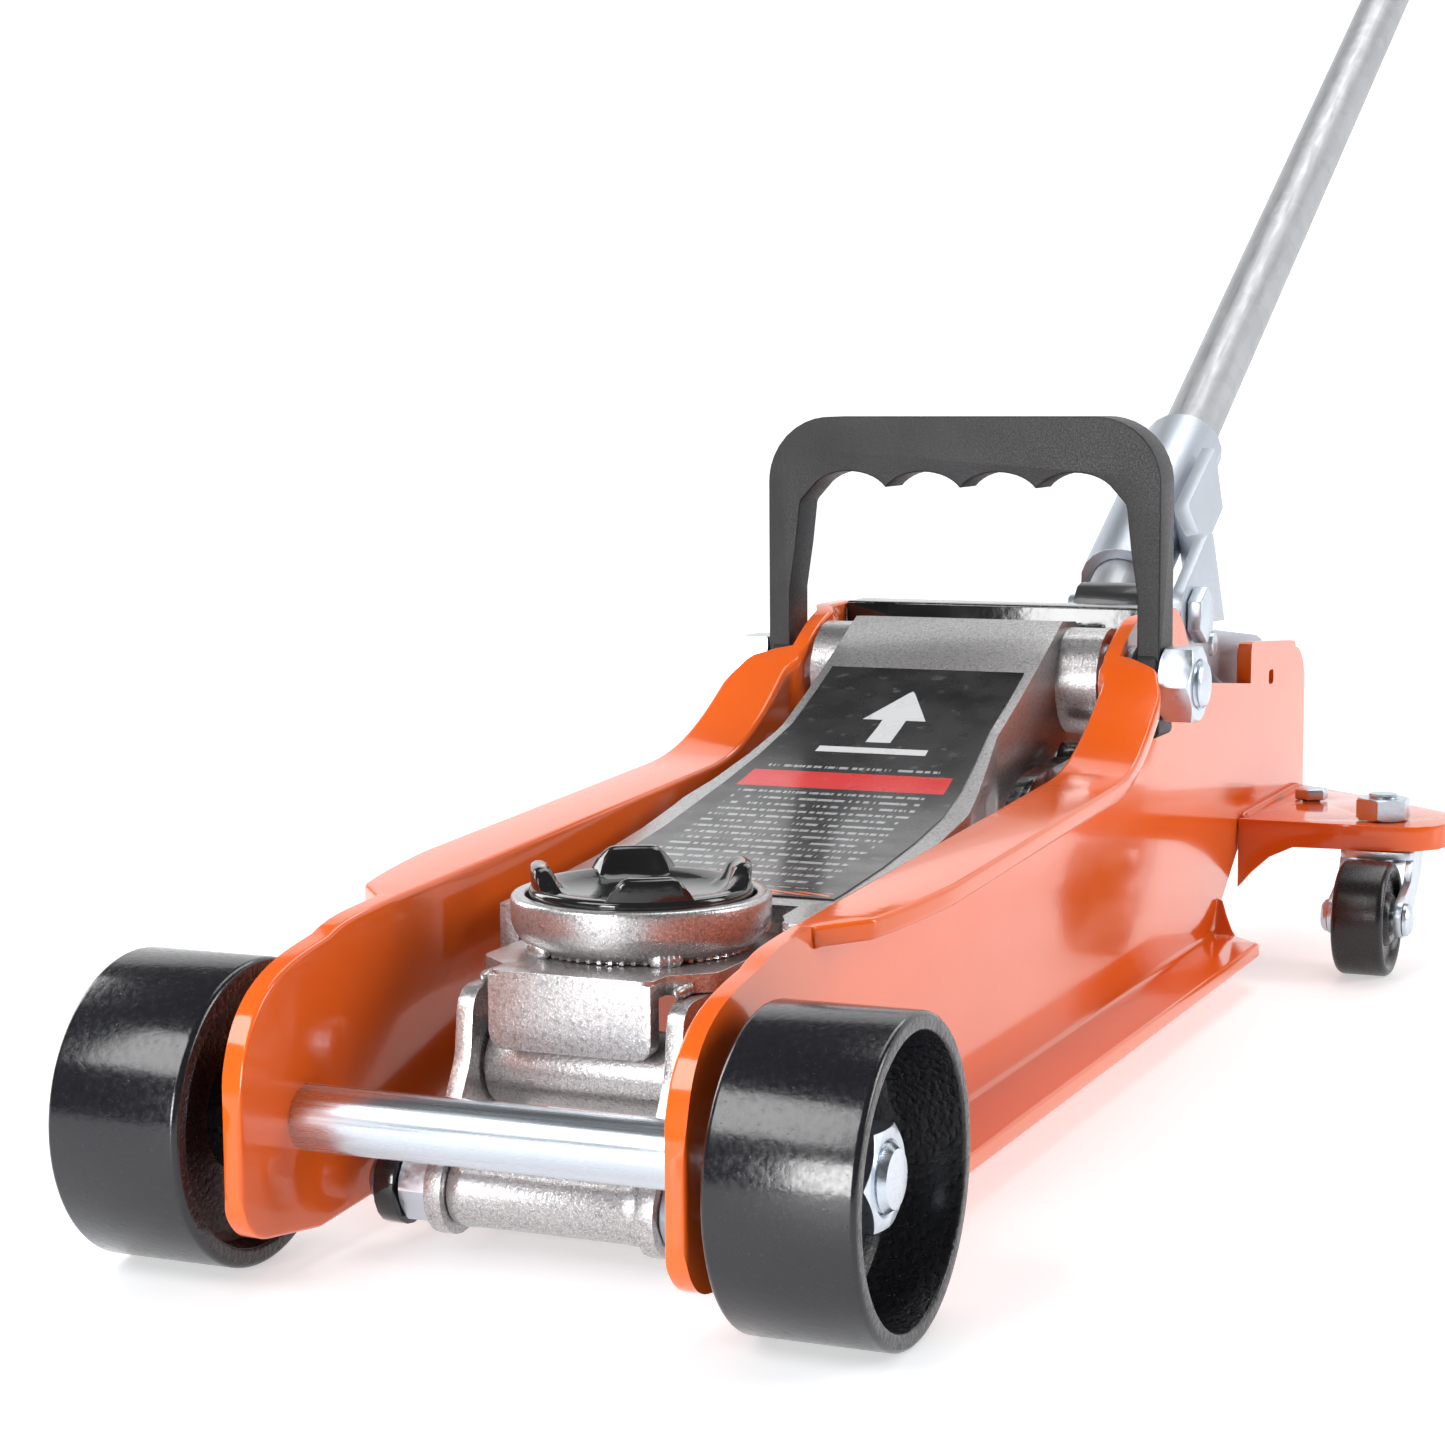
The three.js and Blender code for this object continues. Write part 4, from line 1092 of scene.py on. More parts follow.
@dataclass
class FrontAxle(SubAssembly):
    """The axle, its two hollow cast wheels, and their nuts."""

    radius: float = 7.5
    wheel: float = 35.0
    rim: float = 4.5
    hub: float = 13.0
    inner: float = 61.3
    outer: float = 94.8
    web: tuple[float, float] = (68.3, 77.3)
    nut: tuple[float, float] = (80.6, 88.6)
    end: float = 91.1
    fit_gap: float = 0.35
    nut_corner: float = 12.0
    boss: tuple[float, float] = (79.6, 80.3)

    def wheel_profile(self) -> list[tuple[float, float]]:
        """Radius and distance from the middle plane, round the wheel's section."""
        inside = self.wheel - self.rim
        bore = self.radius + self.fit_gap
        points = [(bore, self.inner), (self.hub - 1, self.inner), (self.hub, self.inner + 1)]
        points += [(self.hub + 0.6, self.web[0] - 1), (self.hub + 2.5, self.web[0])]
        points += [(inside - 4, self.web[0]), (inside - 1.2, self.web[0] - 1.4), (inside, self.inner + 0.6)]
        points += arc(inside + 0.8, self.inner + 0.6, 0.6, 180, 270, 3)
        points += arc(self.wheel - 1.6, self.inner + 1.6, 1.6, 270, 360, 5)
        points += arc(self.wheel - 1.3, self.outer - 1.3, 1.3, 0, 90, 5)
        points += arc(inside + 1.2, self.outer - 0.8, 0.8, 90, 180, 4)
        points += [(inside - 0.6, self.web[1] + 4), (inside - 1.6, self.web[1] + 1.4)]
        points += [(inside - 4, self.web[1]), (self.hub + 3, self.web[1])]
        points += [(self.hub + 0.6, self.web[1] + 1), (self.hub, self.boss[0])]
        return points + [(self.hub - 0.8, self.boss[1]), (bore, self.boss[1])]

    def build(self) -> None:
        """Builds the axle with its threaded ends, then each wheel and nut."""
        shank = [(self.radius, 0), (self.radius, self.nut[0] - 1)]
        half = shank[1:] + thread(self.radius, self.nut[0], self.end - 0.6) + [(0, self.end)]
        profile = [(r, -h) for r, h in reversed(half)] + half
        axle = turned("axle_rod", profile, at(0, 0, self.wheel), RIGHT, 64)
        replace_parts(axle, "front_axle")
        self.fit(axle, "frame", "axle_zinc", "zinc")
        for side in Side:
            way = RIGHT * side.value
            centre = at(0, 0, self.wheel)
            wheel = turned(f"cast_wheel_{side.word}", self.wheel_profile(), centre, way, 112)
            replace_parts(wheel, f"front_wheel_{side.word}")
            self.fit(wheel, f"front_wheel_{side.word}", "wheel_black")
            self.roughen(wheel)
            height = self.nut[1] - self.nut[0]
            start = centre + way * (self.nut[0] * MM)
            nut = hex_nut(f"wheel_nut_{side.word}", self.nut_corner, self.radius + 0.1, start, way, height)
            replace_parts(nut, f"axle_nut_{side.word}")
            self.fit(nut, "frame", "zinc")

    def roughen(self, wheel: Object) -> None:
        """Gives the faces inside the rim the cast skin that was never machined.

        Args:
            wheel: The wheel to dress.
        """
        wheel.data.materials.append(self.finishes.get("wheel_cast"))
        centre = at(0, 0, self.wheel)
        limit = (self.wheel - self.rim + 0.9) * MM
        for face in wheel.data.polygons:
            reach = math.hypot(face.center.y - centre.y, face.center.z - centre.z)
            rim_face = abs(face.normal.x) > 0.7 and reach < (self.wheel - 1.0) * MM
            face.material_index = int(reach < limit or rim_face)


@dataclass
class MainPivot(SubAssembly):
    """The shaft that carries the arm, its nuts, and the black cover behind the arm."""

    y: float = 308.5
    z: float = 106.6
    shaft: float = 11.0
    neck: float = 7.0
    frame_half: float = 55.0
    nut: tuple[float, float] = (62.9, 72.9)
    nut_corner: float = 12.5
    end: float = 75.9

    def build(self) -> None:
        """Builds the stepped shaft, the two nuts and the cover."""
        centre = at(0, self.y, self.z)
        half = [(self.shaft, self.frame_half - 0.8), (self.shaft - 0.8, self.frame_half)]
        half += [(self.neck, self.frame_half), (self.neck, self.nut[0])]
        half += thread(self.neck, self.nut[0], self.end - 0.8) + [(0, self.end)]
        profile = [(r, -h) for r, h in reversed(half)] + half
        shaft = turned("arm_shaft", profile, centre, RIGHT, 48)
        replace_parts(shaft, "pivot_shaft")
        self.fit(shaft, "frame", "zinc")
        for side in Side:
            way = RIGHT * side.value
            start = centre + way * (self.nut[0] * MM)
            height = self.nut[1] - self.nut[0]
            nut = hex_nut(f"lock_nut_{side.word}", self.nut_corner, self.neck + 0.1, start, way, height)
            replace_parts(nut, f"pivot_nut_{side.word}")
            self.fit(nut, "frame", "zinc")
        cover = refined("cover_plate", "rear_cover", 0.8, 3)
        self.fit(cover, "frame", "black_paint")


@dataclass
class LiftArm(SubAssembly):
    """The folded sheet arm with its printed decal and the crosshead pin."""

    decal_half: float = 31.0
    decal_front: float = 104.0
    decal_rear: float = 272.0
    film: float = 0.35

    def build(self) -> None:
        """Builds the arm, its decal and the crosshead pin."""
        arm = refined("lift_arm", "folded_arm", 1.6, 3, 34)
        self.fit(arm, "lift_arm", "hammertone")
        self.fit(self.decal(), "lift_arm", "decal", "black_paint")
        pin = middle("crosshead_pin")
        half = extent("crosshead_pin").x / MM / 2
        profile = [(0, -half), (6.2, -half), (7, -half + 0.8), (7, half - 0.8), (6.2, half), (0, half)]
        cross = turned("crosshead_rod", profile, pin, RIGHT, 40)
        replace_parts(cross, "crosshead_pin")
        self.fit(cross, "lift_arm", "zinc")

    def decal(self) -> Object:
        """The film on top of the arm, which follows the folds of the sheet."""
        fold = bezier([(79, 71), (190, 76), (225, 88), (300, 125)], 10)
        places = sorted([self.decal_front, self.decal_rear] + [y for y, _ in fold])
        rows = []
        for y in (p for p in places if self.decal_front <= p <= self.decal_rear):
            z = float(np.interp(y, fold[:, 0], fold[:, 1])) + 0.12
            half = float(np.interp(y, [190, 240], [self.decal_half + 5, self.decal_half - 1]))
            rows.append([at(half * (i / 6 - 1), y, z) for i in range(13)])
        film = lofted("arm_decal", rows)
        up = sum(p.normal.z for p in film.data.polygons) > 0
        return smooth(thickened(film, self.film, 1.0 if up else -1.0))


@dataclass
class SaddleBracket(SubAssembly):
    """The bracket that stays level under the saddle, with its cup, tube and rods."""

    cup_y: float = 71.0
    cup: float = 31.0
    rim: float = 78.0
    recess: float = 27.4
    floor: float = 65.1
    stem: float = 8.0
    ratchet_teeth: int = 60
    lower: tuple[float, float] = (25.0, 15.5)
    cup_foot: tuple[float, float] = (27.0, 66.4)
    cup_bead: float = 2.2
    bridge_edge: tuple[float, float] = (24.4, 61.5)
    bridge_bead: float = 1.5
    nut_corner: float = 9.0
    nut_bore: float = 6.1

    def build(self) -> None:
        """Builds the cheeks, bridge, cup, ratchet, tube, welds, rods and nuts."""
        body = "saddle_bracket"
        for side in Side:
            plate = refined(f"bracket_plate_{side.word}", f"bracket_cheek_{side.word}", 1.1, 3)
            self.fit(plate, body, "hammertone")
        crown = refined("bracket_crown", "bracket_bridge", 1.6, 4)
        self.fit(crown, body, "hammertone")
        self.fit(self.saddle_cup(), body, "hammertone")
        self.fit(self.ratchet(), body, "hammertone")
        self.fit(self.spacer_tube(), body, "hammertone")
        for side in Side:
            turn = [math.radians(-90 + side.value * (28 + 3 * i)) for i in range(7)]
            foot, low = self.cup_foot
            seam = [at(foot * math.cos(t), self.cup_y + foot * math.sin(t), low) for t in turn]
            self.fit(weld_run(f"cup_weld_{side.word}", seam, self.cup_bead), body, "hammertone")
            across, high = self.bridge_edge
            edge = [at(side.value * across, 36 + 2.5 * i, high) for i in range(22)]
            self.fit(weld_run(f"bridge_weld_{side.word}", edge, self.bridge_bead), body, "hammertone")
        self.rods(body)

    def saddle_cup(self) -> Object:
        """The turned cup with its rolled lip and rounded belly."""
        r, f = self.cup, self.floor
        profile = [(self.stem + 0.4, f), (r - 8, f)]
        profile += arc(r - 8, f + 8, 8, 285, 352, 9)
        profile += [(r, f + 9.4)] + arc(r - 1.3, self.rim - 1.3, 1.3, 0, 90, 5)
        profile += arc(self.recess + 0.8, self.rim - 0.8, 0.8, 90, 180, 4)
        profile += [(self.recess, f + 8.6), (self.recess - 0.6, f + 8), (self.stem + 0.4, f + 8)]
        cup = turned("cup_bowl", profile, at(0, self.cup_y, 0), UP, 112)
        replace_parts(cup, "saddle_cup")
        return cup

    def ratchet(self) -> Object:
        """The toothed ring that shows between the cup and the crown."""
        outline = []
        for i in range(self.ratchet_teeth):
            for share, radius in ((0.0, 24.6), (0.3, 26.2), (0.62, 26.2), (0.9, 24.6)):
                angle = math.tau * (i + share) / self.ratchet_teeth
                x, y = radius * math.cos(angle), radius * math.sin(angle)
                outline.append(at(x, self.cup_y + y, self.floor))
        return smooth(pressed("cup_serration", outline, UP * (1.7 * MM)), 20)

    def spacer_tube(self) -> Object:
        """The tube between the plates' lower ears, with a weld bead at each end."""
        half = extent("lower_tube").x / MM / 2
        bore = [(6.4, -half), (6.4, half)]
        skin = [(8.4, half), (9, half - 1), (9, half - 4), (8.8, half - 5)]
        profile = bore + skin + [(r, -h) for r, h in reversed(skin)]
        tube = turned("ear_tube", profile, at(0, *self.lower), RIGHT, 48)
        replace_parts(tube, "lower_tube")
        return tube

    def rods(self, body: str) -> None:
        """Builds the lower rod, the front pin and the spacer nuts.

        Args:
            body: The body that they ride on.
        """
        half = extent("lower_rod").x / MM / 2
        ends = thread(6.0, half - 10, half - 0.5) + [(0, half)]
        profile = [(r, -h) for r, h in reversed(ends)] + ends
        rod = turned("link_rod", profile, at(0, *self.lower), RIGHT, 40)
        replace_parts(rod, "lower_rod")
        self.fit(rod, body, "zinc")
        pin = refined("arm_front_pin", "arm_nose_pin", 0.5, 2)
        self.fit(pin, body, "zinc")
        for side in Side:
            way = RIGHT * side.value
            low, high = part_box(f"link_nut_{side.word}")
            inner = min(abs(low.x), abs(high.x)) / MM
            start = at(0, *self.lower) + way * (inner * MM)
            width = abs(high.x - low.x) / MM
            nut = hex_nut(f"spacer_nut_{side.word}", self.nut_corner, self.nut_bore, start, way, width)
            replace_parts(nut, f"link_nut_{side.word}")
            self.fit(nut, body, "zinc")


@dataclass
class Saddle(SubAssembly):
    """The dished black saddle with four upturned lugs."""

    y: float = 71.0
    radius: float = 26.6
    seat: float = 73.4
    top: float = 85.0
    stem: float = 8.0
    lug_half: float = 19.0
    lug_foot: float = 27.0
    lug_turn: float = 29.5

    def build(self) -> None:
        """Turns the dish, spins each lug a part of a turn, and joins them."""
        centre = at(0, self.y, 0)
        r, s = self.radius, self.seat
        dish = [(0, 58.3), (self.stem - 0.6, 58.3), (self.stem, 59), (self.stem, s), (r - 2.6, s)]
        dish += arc(r - 2, s + 2, 2, 290, 360, 4) + arc(r - 1.2, s + 5.2, 1.2, 0, 90, 4)
        dish += [(r - 3.5, s + 6.4), (r - 6.5, s + 5.2), (r - 9, s + 4.2), (6, s + 4.0), (0, s + 4.0)]
        pad = turned("saddle_pad", dish, centre, UP, 96)
        for turn in range(4):
            combine(pad, self.lug(math.pi / 2 * turn + math.radians(self.lug_turn)), "UNION")
        soften(pad, 0.8, 3, 35)
        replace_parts(pad, "saddle")
        self.fit(pad, "saddle", "black_paint")

    def lug(self, angle: float) -> Object:
        """One upturned lug: its section spun part of a turn, narrower at the top.

        Args:
            angle: The way that the lug faces, from +X.

        Returns:
            The lug.
        """
        centre = at(0, self.y, 0)
        rows = []
        outer, inner = self.radius - 0.25, self.radius - 5.2
        section = [(inner - 3.5, self.seat + 3.8), (inner - 0.6, self.seat + 6.4)]
        section += [(inner + 0.4, self.top - 2.2)]
        section += [(inner + 1.2, self.top - 0.7), (inner + 2.4, self.top), (outer - 1.2, self.top)]
        section += [(outer - 0.3, self.top - 0.5), (outer, self.top - 1.6)]
        section += [(outer - 0.4, self.seat + 5.4), (outer - 1.5, self.seat + 3.8)]
        for step in range(21):
            share = step / 10 - 1
            row = []
            for radius, z in section:
                rise = (z - self.seat - 3.8) / (self.top - self.seat - 3.8)
                half = math.radians(self.lug_foot + (self.lug_half - self.lug_foot) * rise)
                sink = 2.6 * (max(abs(share) - 0.6, 0) / 0.4) ** 2 * rise
                t = angle + half * share
                way = Vector((math.cos(t), math.sin(t), 0))
                row.append(centre + way * (radius * MM) + UP * ((z - sink) * MM))
            rows.append(row)
        return lofted("lug", rows, closed=True)


@dataclass
class LinkBars(SubAssembly):
    """The two parallel bars that keep the saddle level, and their rear anchors."""

    def build(self) -> None:
        """Refines the bars and the anchors."""
        for side in Side:
            bar = refined(f"link_bar_{side.word}", f"level_bar_{side.word}", 0.9, 3)
            self.fit(bar, "link_bars", "black_paint")
            anchor = refined(f"link_anchor_{side.word}", f"bar_anchor_{side.word}", 0.4, 2)
            self.fit(anchor, "frame", "zinc")


@dataclass
class HydraulicUnit(SubAssembly):
    """The pump block, cylinder, ram, springs, plunger and valves between the plates."""

    axis: float = 60.0
    ram: float = 12.0
    cylinder: float = 21.0

    def build(self) -> None:
        """Builds the unit from the ram head back to the tie bar."""
        block = refined("pump_block", "pump_casting", 1.8, 3)
        self.fit(block, "frame", "unit_steel")
        self.fit(self.barrel(), "frame", "unit_steel")
        self.fit(self.ram_rod(), "ram", "zinc")
        head = refined("ram_head", "ram_crosshead", 1.6, 3)
        self.fit(head, "ram", "unit_steel")
        self.springs()
        plunger = refined("pump_plunger", "plunger_pin", 0.5, 2)
        self.fit(plunger, "pump_plunger", "zinc")
        valve = refined("release_valve", "release_screw", 0.5, 2)
        self.fit(valve, "release_valve", "zinc")
        for node, name in (("filler_plug", "oil_plug"), ("rear_tie_bar", "tie_rod")):
            self.fit(refined(node, name, 0.6, 2), "frame", "zinc")
        for side in Side:
            trunnion = refined(f"unit_trunnion_{side.word}", f"trunnion_{side.word}", 0.6, 2)
            self.fit(trunnion, "frame", "zinc")

    def barrel(self) -> Object:
        """The cylinder, with a gland collar at its mouth."""
        low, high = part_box("lift_cylinder")
        length = (high.y - low.y) / MM
        r, bore = self.cylinder, self.ram + 0.35
        profile = [(bore, 0.8), (bore + 0.8, 0), (r - 1.2, 0), (r, 1.2), (r, 8), (r - 1.2, 9.2)]
        profile += [(r - 1.2, 10.4), (r, 11.6), (r, length - 0.5), (r - 0.5, length), (bore, length)]
        barrel = turned("ram_barrel", profile, Vector((0, low.y, self.axis * MM)), BACK, 72)
        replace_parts(barrel, "lift_cylinder")
        return barrel

    def ram_rod(self) -> Object:
        """The polished ram."""
        low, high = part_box("ram")
        length = (high.y - low.y) / MM
        profile = [(0, 0), (self.ram - 0.6, 0), (self.ram, 0.6), (self.ram, length - 1)]
        profile += [(self.ram - 1, length), (0, length)]
        rod = turned("ram_rod", profile, Vector((0, low.y, self.axis * MM)), BACK, 56)
        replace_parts(rod, "ram")
        return rod

    def springs(self) -> None:
        """Winds the two return springs and the plunger's spring."""
        for side in Side:
            node = f"return_spring_{side.word}"
            spring = wound(f"pull_spring_{side.word}", node, BACK, 3.2, 0.8, 12)
            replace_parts(spring, node)
            self.finishes.dress(spring, "spring_steel")
            self.pieces.append(spring)
            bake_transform(spring)
        spring = wound("plunger_coil", "plunger_spring", UP, 9.3, 0.8, 3.5)
        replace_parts(spring, "plunger_spring")
        self.finishes.dress(spring, "spring_steel")
        self.pieces.append(spring)
        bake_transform(spring)


def wound(name: str, node: str, axis: Vector, radius: float, wire: float, turns: float) -> Object:
    """A coil spring that fills a frame node's box, wound with a screw modifier.

    Args:
        name: The name of the new piece.
        node: The frame node whose place and length it takes.
        axis: The way along the spring.
        radius: From the axis to the middle of the wire, in millimetres.
        wire: The radius of the wire.
        turns: How many turns it has.

    Returns:
        The new piece.
    """
    low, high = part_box(node)
    length = (high - low).dot(axis) - 2 * wire * MM
    spoke = RIGHT
    ring = []
    for i in range(8):
        angle = math.tau * i / 8
        ring.append((spoke * (radius + wire * math.cos(angle)) + axis * (wire * math.sin(angle))) * MM)
    coil = drawn(name, ring)
    open_up(coil)
    bpy.ops.mesh.delete(type="ONLY_FACE")
    close_up()
    alone(coil)
    screw = coil.modifiers.new("winding", "SCREW")
    screw.axis = "Y" if axis.y > 0.5 else "Z"
    screw.angle = math.tau * turns
    screw.screw_offset = length
    screw.steps = int(20 * turns)
    screw.render_steps = int(20 * turns)
    bpy.ops.object.modifier_apply(modifier=screw.name)
    open_up(coil)
    bpy.ops.mesh.select_all(action="DESELECT")
    bpy.ops.mesh.select_non_manifold()
    bpy.ops.mesh.fill_holes(sides=0)
    bpy.ops.mesh.select_all(action="SELECT")
    bpy.ops.mesh.normals_make_consistent(inside=False)
    centre = (low + high) / 2
    corner = centre - axis * (length / 2)
    bpy.ops.transform.translate(value=corner)
    close_up()
    return smooth(coil, 60)


@dataclass
class PumpHandle(SubAssembly):
    """The yoke, its bolt and roller, and the long two-part handle."""

    tilt: float = 29.3
    drop: float = 29.4
    pivot: tuple[float, float] = (410.0, 119.0)
    tube: float = 10.5
    wall: float = 2.0
    start: float = 30.0
    joint: float = 600.0
    end: float = 786.0
    grip: tuple[float, float] = (655.0, 790.0)
    grip_radius: float = 15.0
    ribs: int = 22

    def axis(self) -> Vector:
        """The way up the handle."""
        return Vector((0, math.cos(math.radians(self.tilt)), math.sin(math.radians(self.tilt))))

    def root(self) -> Vector:
        """The point of the handle's axis that is square under the yoke's pivot."""
        under = Vector((0, math.sin(math.radians(self.tilt)), -math.cos(math.radians(self.tilt))))
        return at(0, *self.pivot) + under * (self.drop * MM)

    def build(self) -> None:
        """Builds the yoke, then the handle's tubes and grip."""
        yoke = refined("handle_yoke", "handle_socket", 0.9, 3, 34)
        self.fit(yoke, "handle_yoke", "satin_zinc", "hammertone")
        roller = refined("pump_roller", "yoke_roller", 0.5, 2)
        self.fit(roller, "handle_yoke", "zinc")
        bolt = refined("yoke_bolt", "yoke_pin", 0.5, 2)
        self.fit(bolt, "frame", "zinc")
        inner = self.tube - self.wall
        shell = [(inner, self.start), (inner + 0.5, self.start - 0.0), (self.tube - 0.6, self.start)]
        shell += [(self.tube, self.start + 0.6), (self.tube, self.joint - 1.5), (self.tube - 1.2, self.joint)]
        shell += [(inner, self.joint)]
        lower = turned("handle_lower_tube", shell, self.root(), self.axis(), 64)
        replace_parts(lower, "handle_tube")
        self.fit(lower, "handle", "galvanised")
        upper = inner - 0.35
        shell = [(upper - self.wall, self.joint - 60), (upper, self.joint - 60), (upper, self.end - 0.6)]
        shell += [(upper - 0.6, self.end), (upper - self.wall, self.end)]
        rod = turned("handle_upper_tube", shell, self.root(), self.axis(), 56)
        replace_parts(rod, "handle_extension")
        self.fit(rod, "handle", "galvanised")
        self.fit(self.hand_grip(upper + 0.3), "handle", "grip_rubber")

    def hand_grip(self, bore: float) -> Object:
        """The ribbed rubber grip with a closed end.

        Args:
            bore: Its inner radius.

        Returns:
            The grip.
        """
        first, last = self.grip
        r = self.grip_radius
        profile = [(bore, first), (r - 1.5, first), (r, first + 1.5), (r, first + 8)]
        pitch = (last - first - 26) / self.ribs
        for i in range(self.ribs):
            place = first + 9 + i * pitch
            profile += [(r - 1.3, place + 0.5), (r - 1.3, place + 1.5), (r - 0.4, place + 2.3)]
            profile += [(r - 0.4, place + pitch - 0.6), (r - 1.1, place + pitch)]
        profile += [(r, last - 14)] + arc(r - 4, last - 4, 4, 0, 90, 6) + [(3, last), (2.4, last - 0.8)]
        profile += [(2.4, last - 2.8), (bore, last - 2.8)]
        grip = turned("ribbed_grip", profile, self.root(), self.axis(), 64)
        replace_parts(grip, "handle_grip")
        return grip


@dataclass
class CarryHandle(SubAssembly):
    """The moulded loop handle that swings on the pivot nuts' necks."""

    inner: float = 55.6
    thickness: float = 7.0
    top: float = 186.0
    foot: float = 90.6
    depth: float = 15.0
    shoulder: float = 20.0
    pivot: tuple[float, float] = (308.5, 106.6)
    boss: float = 11.5
    bore: float = 7.35
    scallops: int = 4
    bar: float = 17.0
    rounding: float = 2.6

    def outline(self) -> list[Vector]:
        """The front view of the loop: round shoulders outside, finger scallops inside."""
        outer = self.inner + self.thickness
        hand, roof = self.inner - 3.6, self.top - self.bar
        half = [(outer, self.top, self.shoulder), (outer, self.foot, 2.0), (self.inner, self.foot, 0.5)]
        half += [(self.inner, self.pivot[1] + 26, 3.0), (hand + 1.5, self.pivot[1] + 40, 12.0)]
        half += [(hand, roof - 9, 3.0)]
        pitch = (2 * hand - 8) / self.scallops
        under = []
        for i in range(self.scallops):
            start = hand - 4 - i * pitch
            handles = [(start, roof - 4.6), (start - 5, roof + 2), (start - pitch + 5, roof + 2)]
            arch = bezier(handles + [(start - pitch, roof - 4.6)], 14)
            under += [(float(x), float(z), 0.0) for x, z in arch[(1 if i else 0):]]
        other = [(-x, z, r) for x, z, r in reversed(half)]
        shell = [at(x, self.pivot[0] - self.depth / 2, z) for x, z in rounded(half + under + other, 10)]
        return [p for i, p in enumerate(shell) if (p - shell[i - 1]).length > 5 * WELD]

    def build(self) -> None:
        """Extrudes the loop, adds the bosses round the pivot, and rounds the edges."""
        loop = pressed("moulded_loop", self.outline(), BACK * (self.depth * MM))
        soften(loop, self.rounding, 4, 50)
        for side in Side:
            low, high = self.inner, self.inner + self.thickness
            profile = [(0, low), (self.boss - 0.6, low), (self.boss, low + 0.6), (self.boss, high - 1.6)]
            profile += [(self.boss - 1.6, high), (0, high)]
            boss = turned("boss", profile, at(0, *self.pivot), RIGHT * side.value, 64)
            combine(loop, boss, "UNION")
            hole = [(0, low - 2), (self.bore, low - 2), (self.bore, high + 2), (0, high + 2)]
            combine(loop, turned("hole", hole, at(0, *self.pivot), RIGHT * side.value, 40), "DIFFERENCE")
        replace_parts(smooth(loop, 40), "carry_handle")
        self.fit(loop, "carry_handle", "handle_plastic")


@dataclass
class RearCasters(SubAssembly):
    """The wings behind the plates with their swivel casters."""

    x: float = 101.0
    y: float = 446.0
    axle_y: float = 422.0
    wheel: float = 19.0
    width: float = 17.0
    wing_top: float = 48.5
    seam: tuple[float, float] = (55.6, 48.2)
    bead: tuple[float, float] = (1.9, 2.8)
    nut_corner: float = 9.4

    def build(self) -> None:
        """Builds each wing, fork, wheel, rivet, kingpin and screw."""
        for side in Side:
            word = side.word
            self.fit(refined(f"caster_wing_{word}", f"wing_{word}", 1.6, 4), "frame", "orange_paint")
            self.fit(refined(f"caster_fork_{word}", f"fork_{word}", 0.6, 3), f"caster_{word}", "zinc")
            self.fit(self.wheel_of(side), f"caster_wheel_{word}", "caster_plastic")
            self.fit(self.rivet(side), f"caster_{word}", "zinc")
            self.fit(self.kingpin(side), "frame", "zinc")
            across, high = self.seam
            seam = [at(side.value * across, 434 + 4 * i, high) for i in range(22)]
            self.fit(weld_run(f"wing_weld_{word}", seam, *self.bead), "frame", "orange_paint")
            self.fit(refined(f"wing_screw_{word}", f"wing_bolt_{word}", 0.5, 2), "frame", "zinc")

    def wheel_of(self, side: Side) -> Object:
        """A nylon caster wheel with dished faces.

        Args:
            side: The caster's side.

        Returns:
            The piece.
        """
        h, r = self.width / 2, self.wheel
        half = [(3.35, h), (7.4, h), (8.2, h - 0.6), (9, h - 2), (r - 4.6, h - 2), (r - 3.6, h - 0.6)]
        half += arc(r - 2.2, h - 2.2, 2.2, 90, 0, 6)
        profile = half + [(radius, -place) for radius, place in reversed(half)]
        centre = at(side.value * self.x, self.axle_y, self.wheel)
        wheel = turned(f"nylon_wheel_{side.word}", profile, centre, RIGHT, 72)
        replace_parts(wheel, f"caster_wheel_{side.word}")
        return wheel

    def rivet(self, side: Side) -> Object:
        """The domed rivet that is a caster's axle.

        Args:
            side: The caster's side.

        Returns:
            The piece.
        """
        node = f"caster_rivet_{side.word}"
        half = extent(node).x / MM / 2
        end = [(3, half - 2.5), (5.5, half - 2.5), (5.3, half - 1.4)]
        end += [(4.2, half - 0.4), (2.4, half), (0, half)]
        profile = [(r, -h) for r, h in reversed(end)] + end
        rivet = turned(f"domed_rivet_{side.word}", profile, middle(node), RIGHT, 40)
        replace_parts(rivet, node)
        return rivet

    def kingpin(self, side: Side) -> Object:
        """The swivel pin with its nut on top of the wing and its two raceway discs.

        Args:
            side: The caster's side.

        Returns:
            The piece.
        """
        node = f"caster_kingpin_{side.word}"
        low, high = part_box(node)
        base, top = low.z / MM, high.z / MM
        place = at(side.value * self.x, self.y, 0)
        profile = [(0, base), (7.6, base), (8.5, base + 0.9), (8.5, base + 2.6), (5, base + 2.7), (5, 39.6)]
        profile += [(9.4, 39.6), (10, 40.2), (10, 43.1), (9.4, 43.7), (5, 43.7), (5, self.wing_top)]
        profile += thread(5, self.wing_top + 0.2, top - 0.5, 1.25) + [(0, top)]
        pin = turned(f"swivel_pin_{side.word}", profile, place, UP, 40)
        nut = hex_nut("nut", self.nut_corner, 0, place + UP * (self.wing_top + 0.3) * MM, UP, 7.2)
        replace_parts(pin, node)
        return joined(f"swivel_pin_{side.word}", [pin, nut])


# ------------------------------------------------------------------ studio


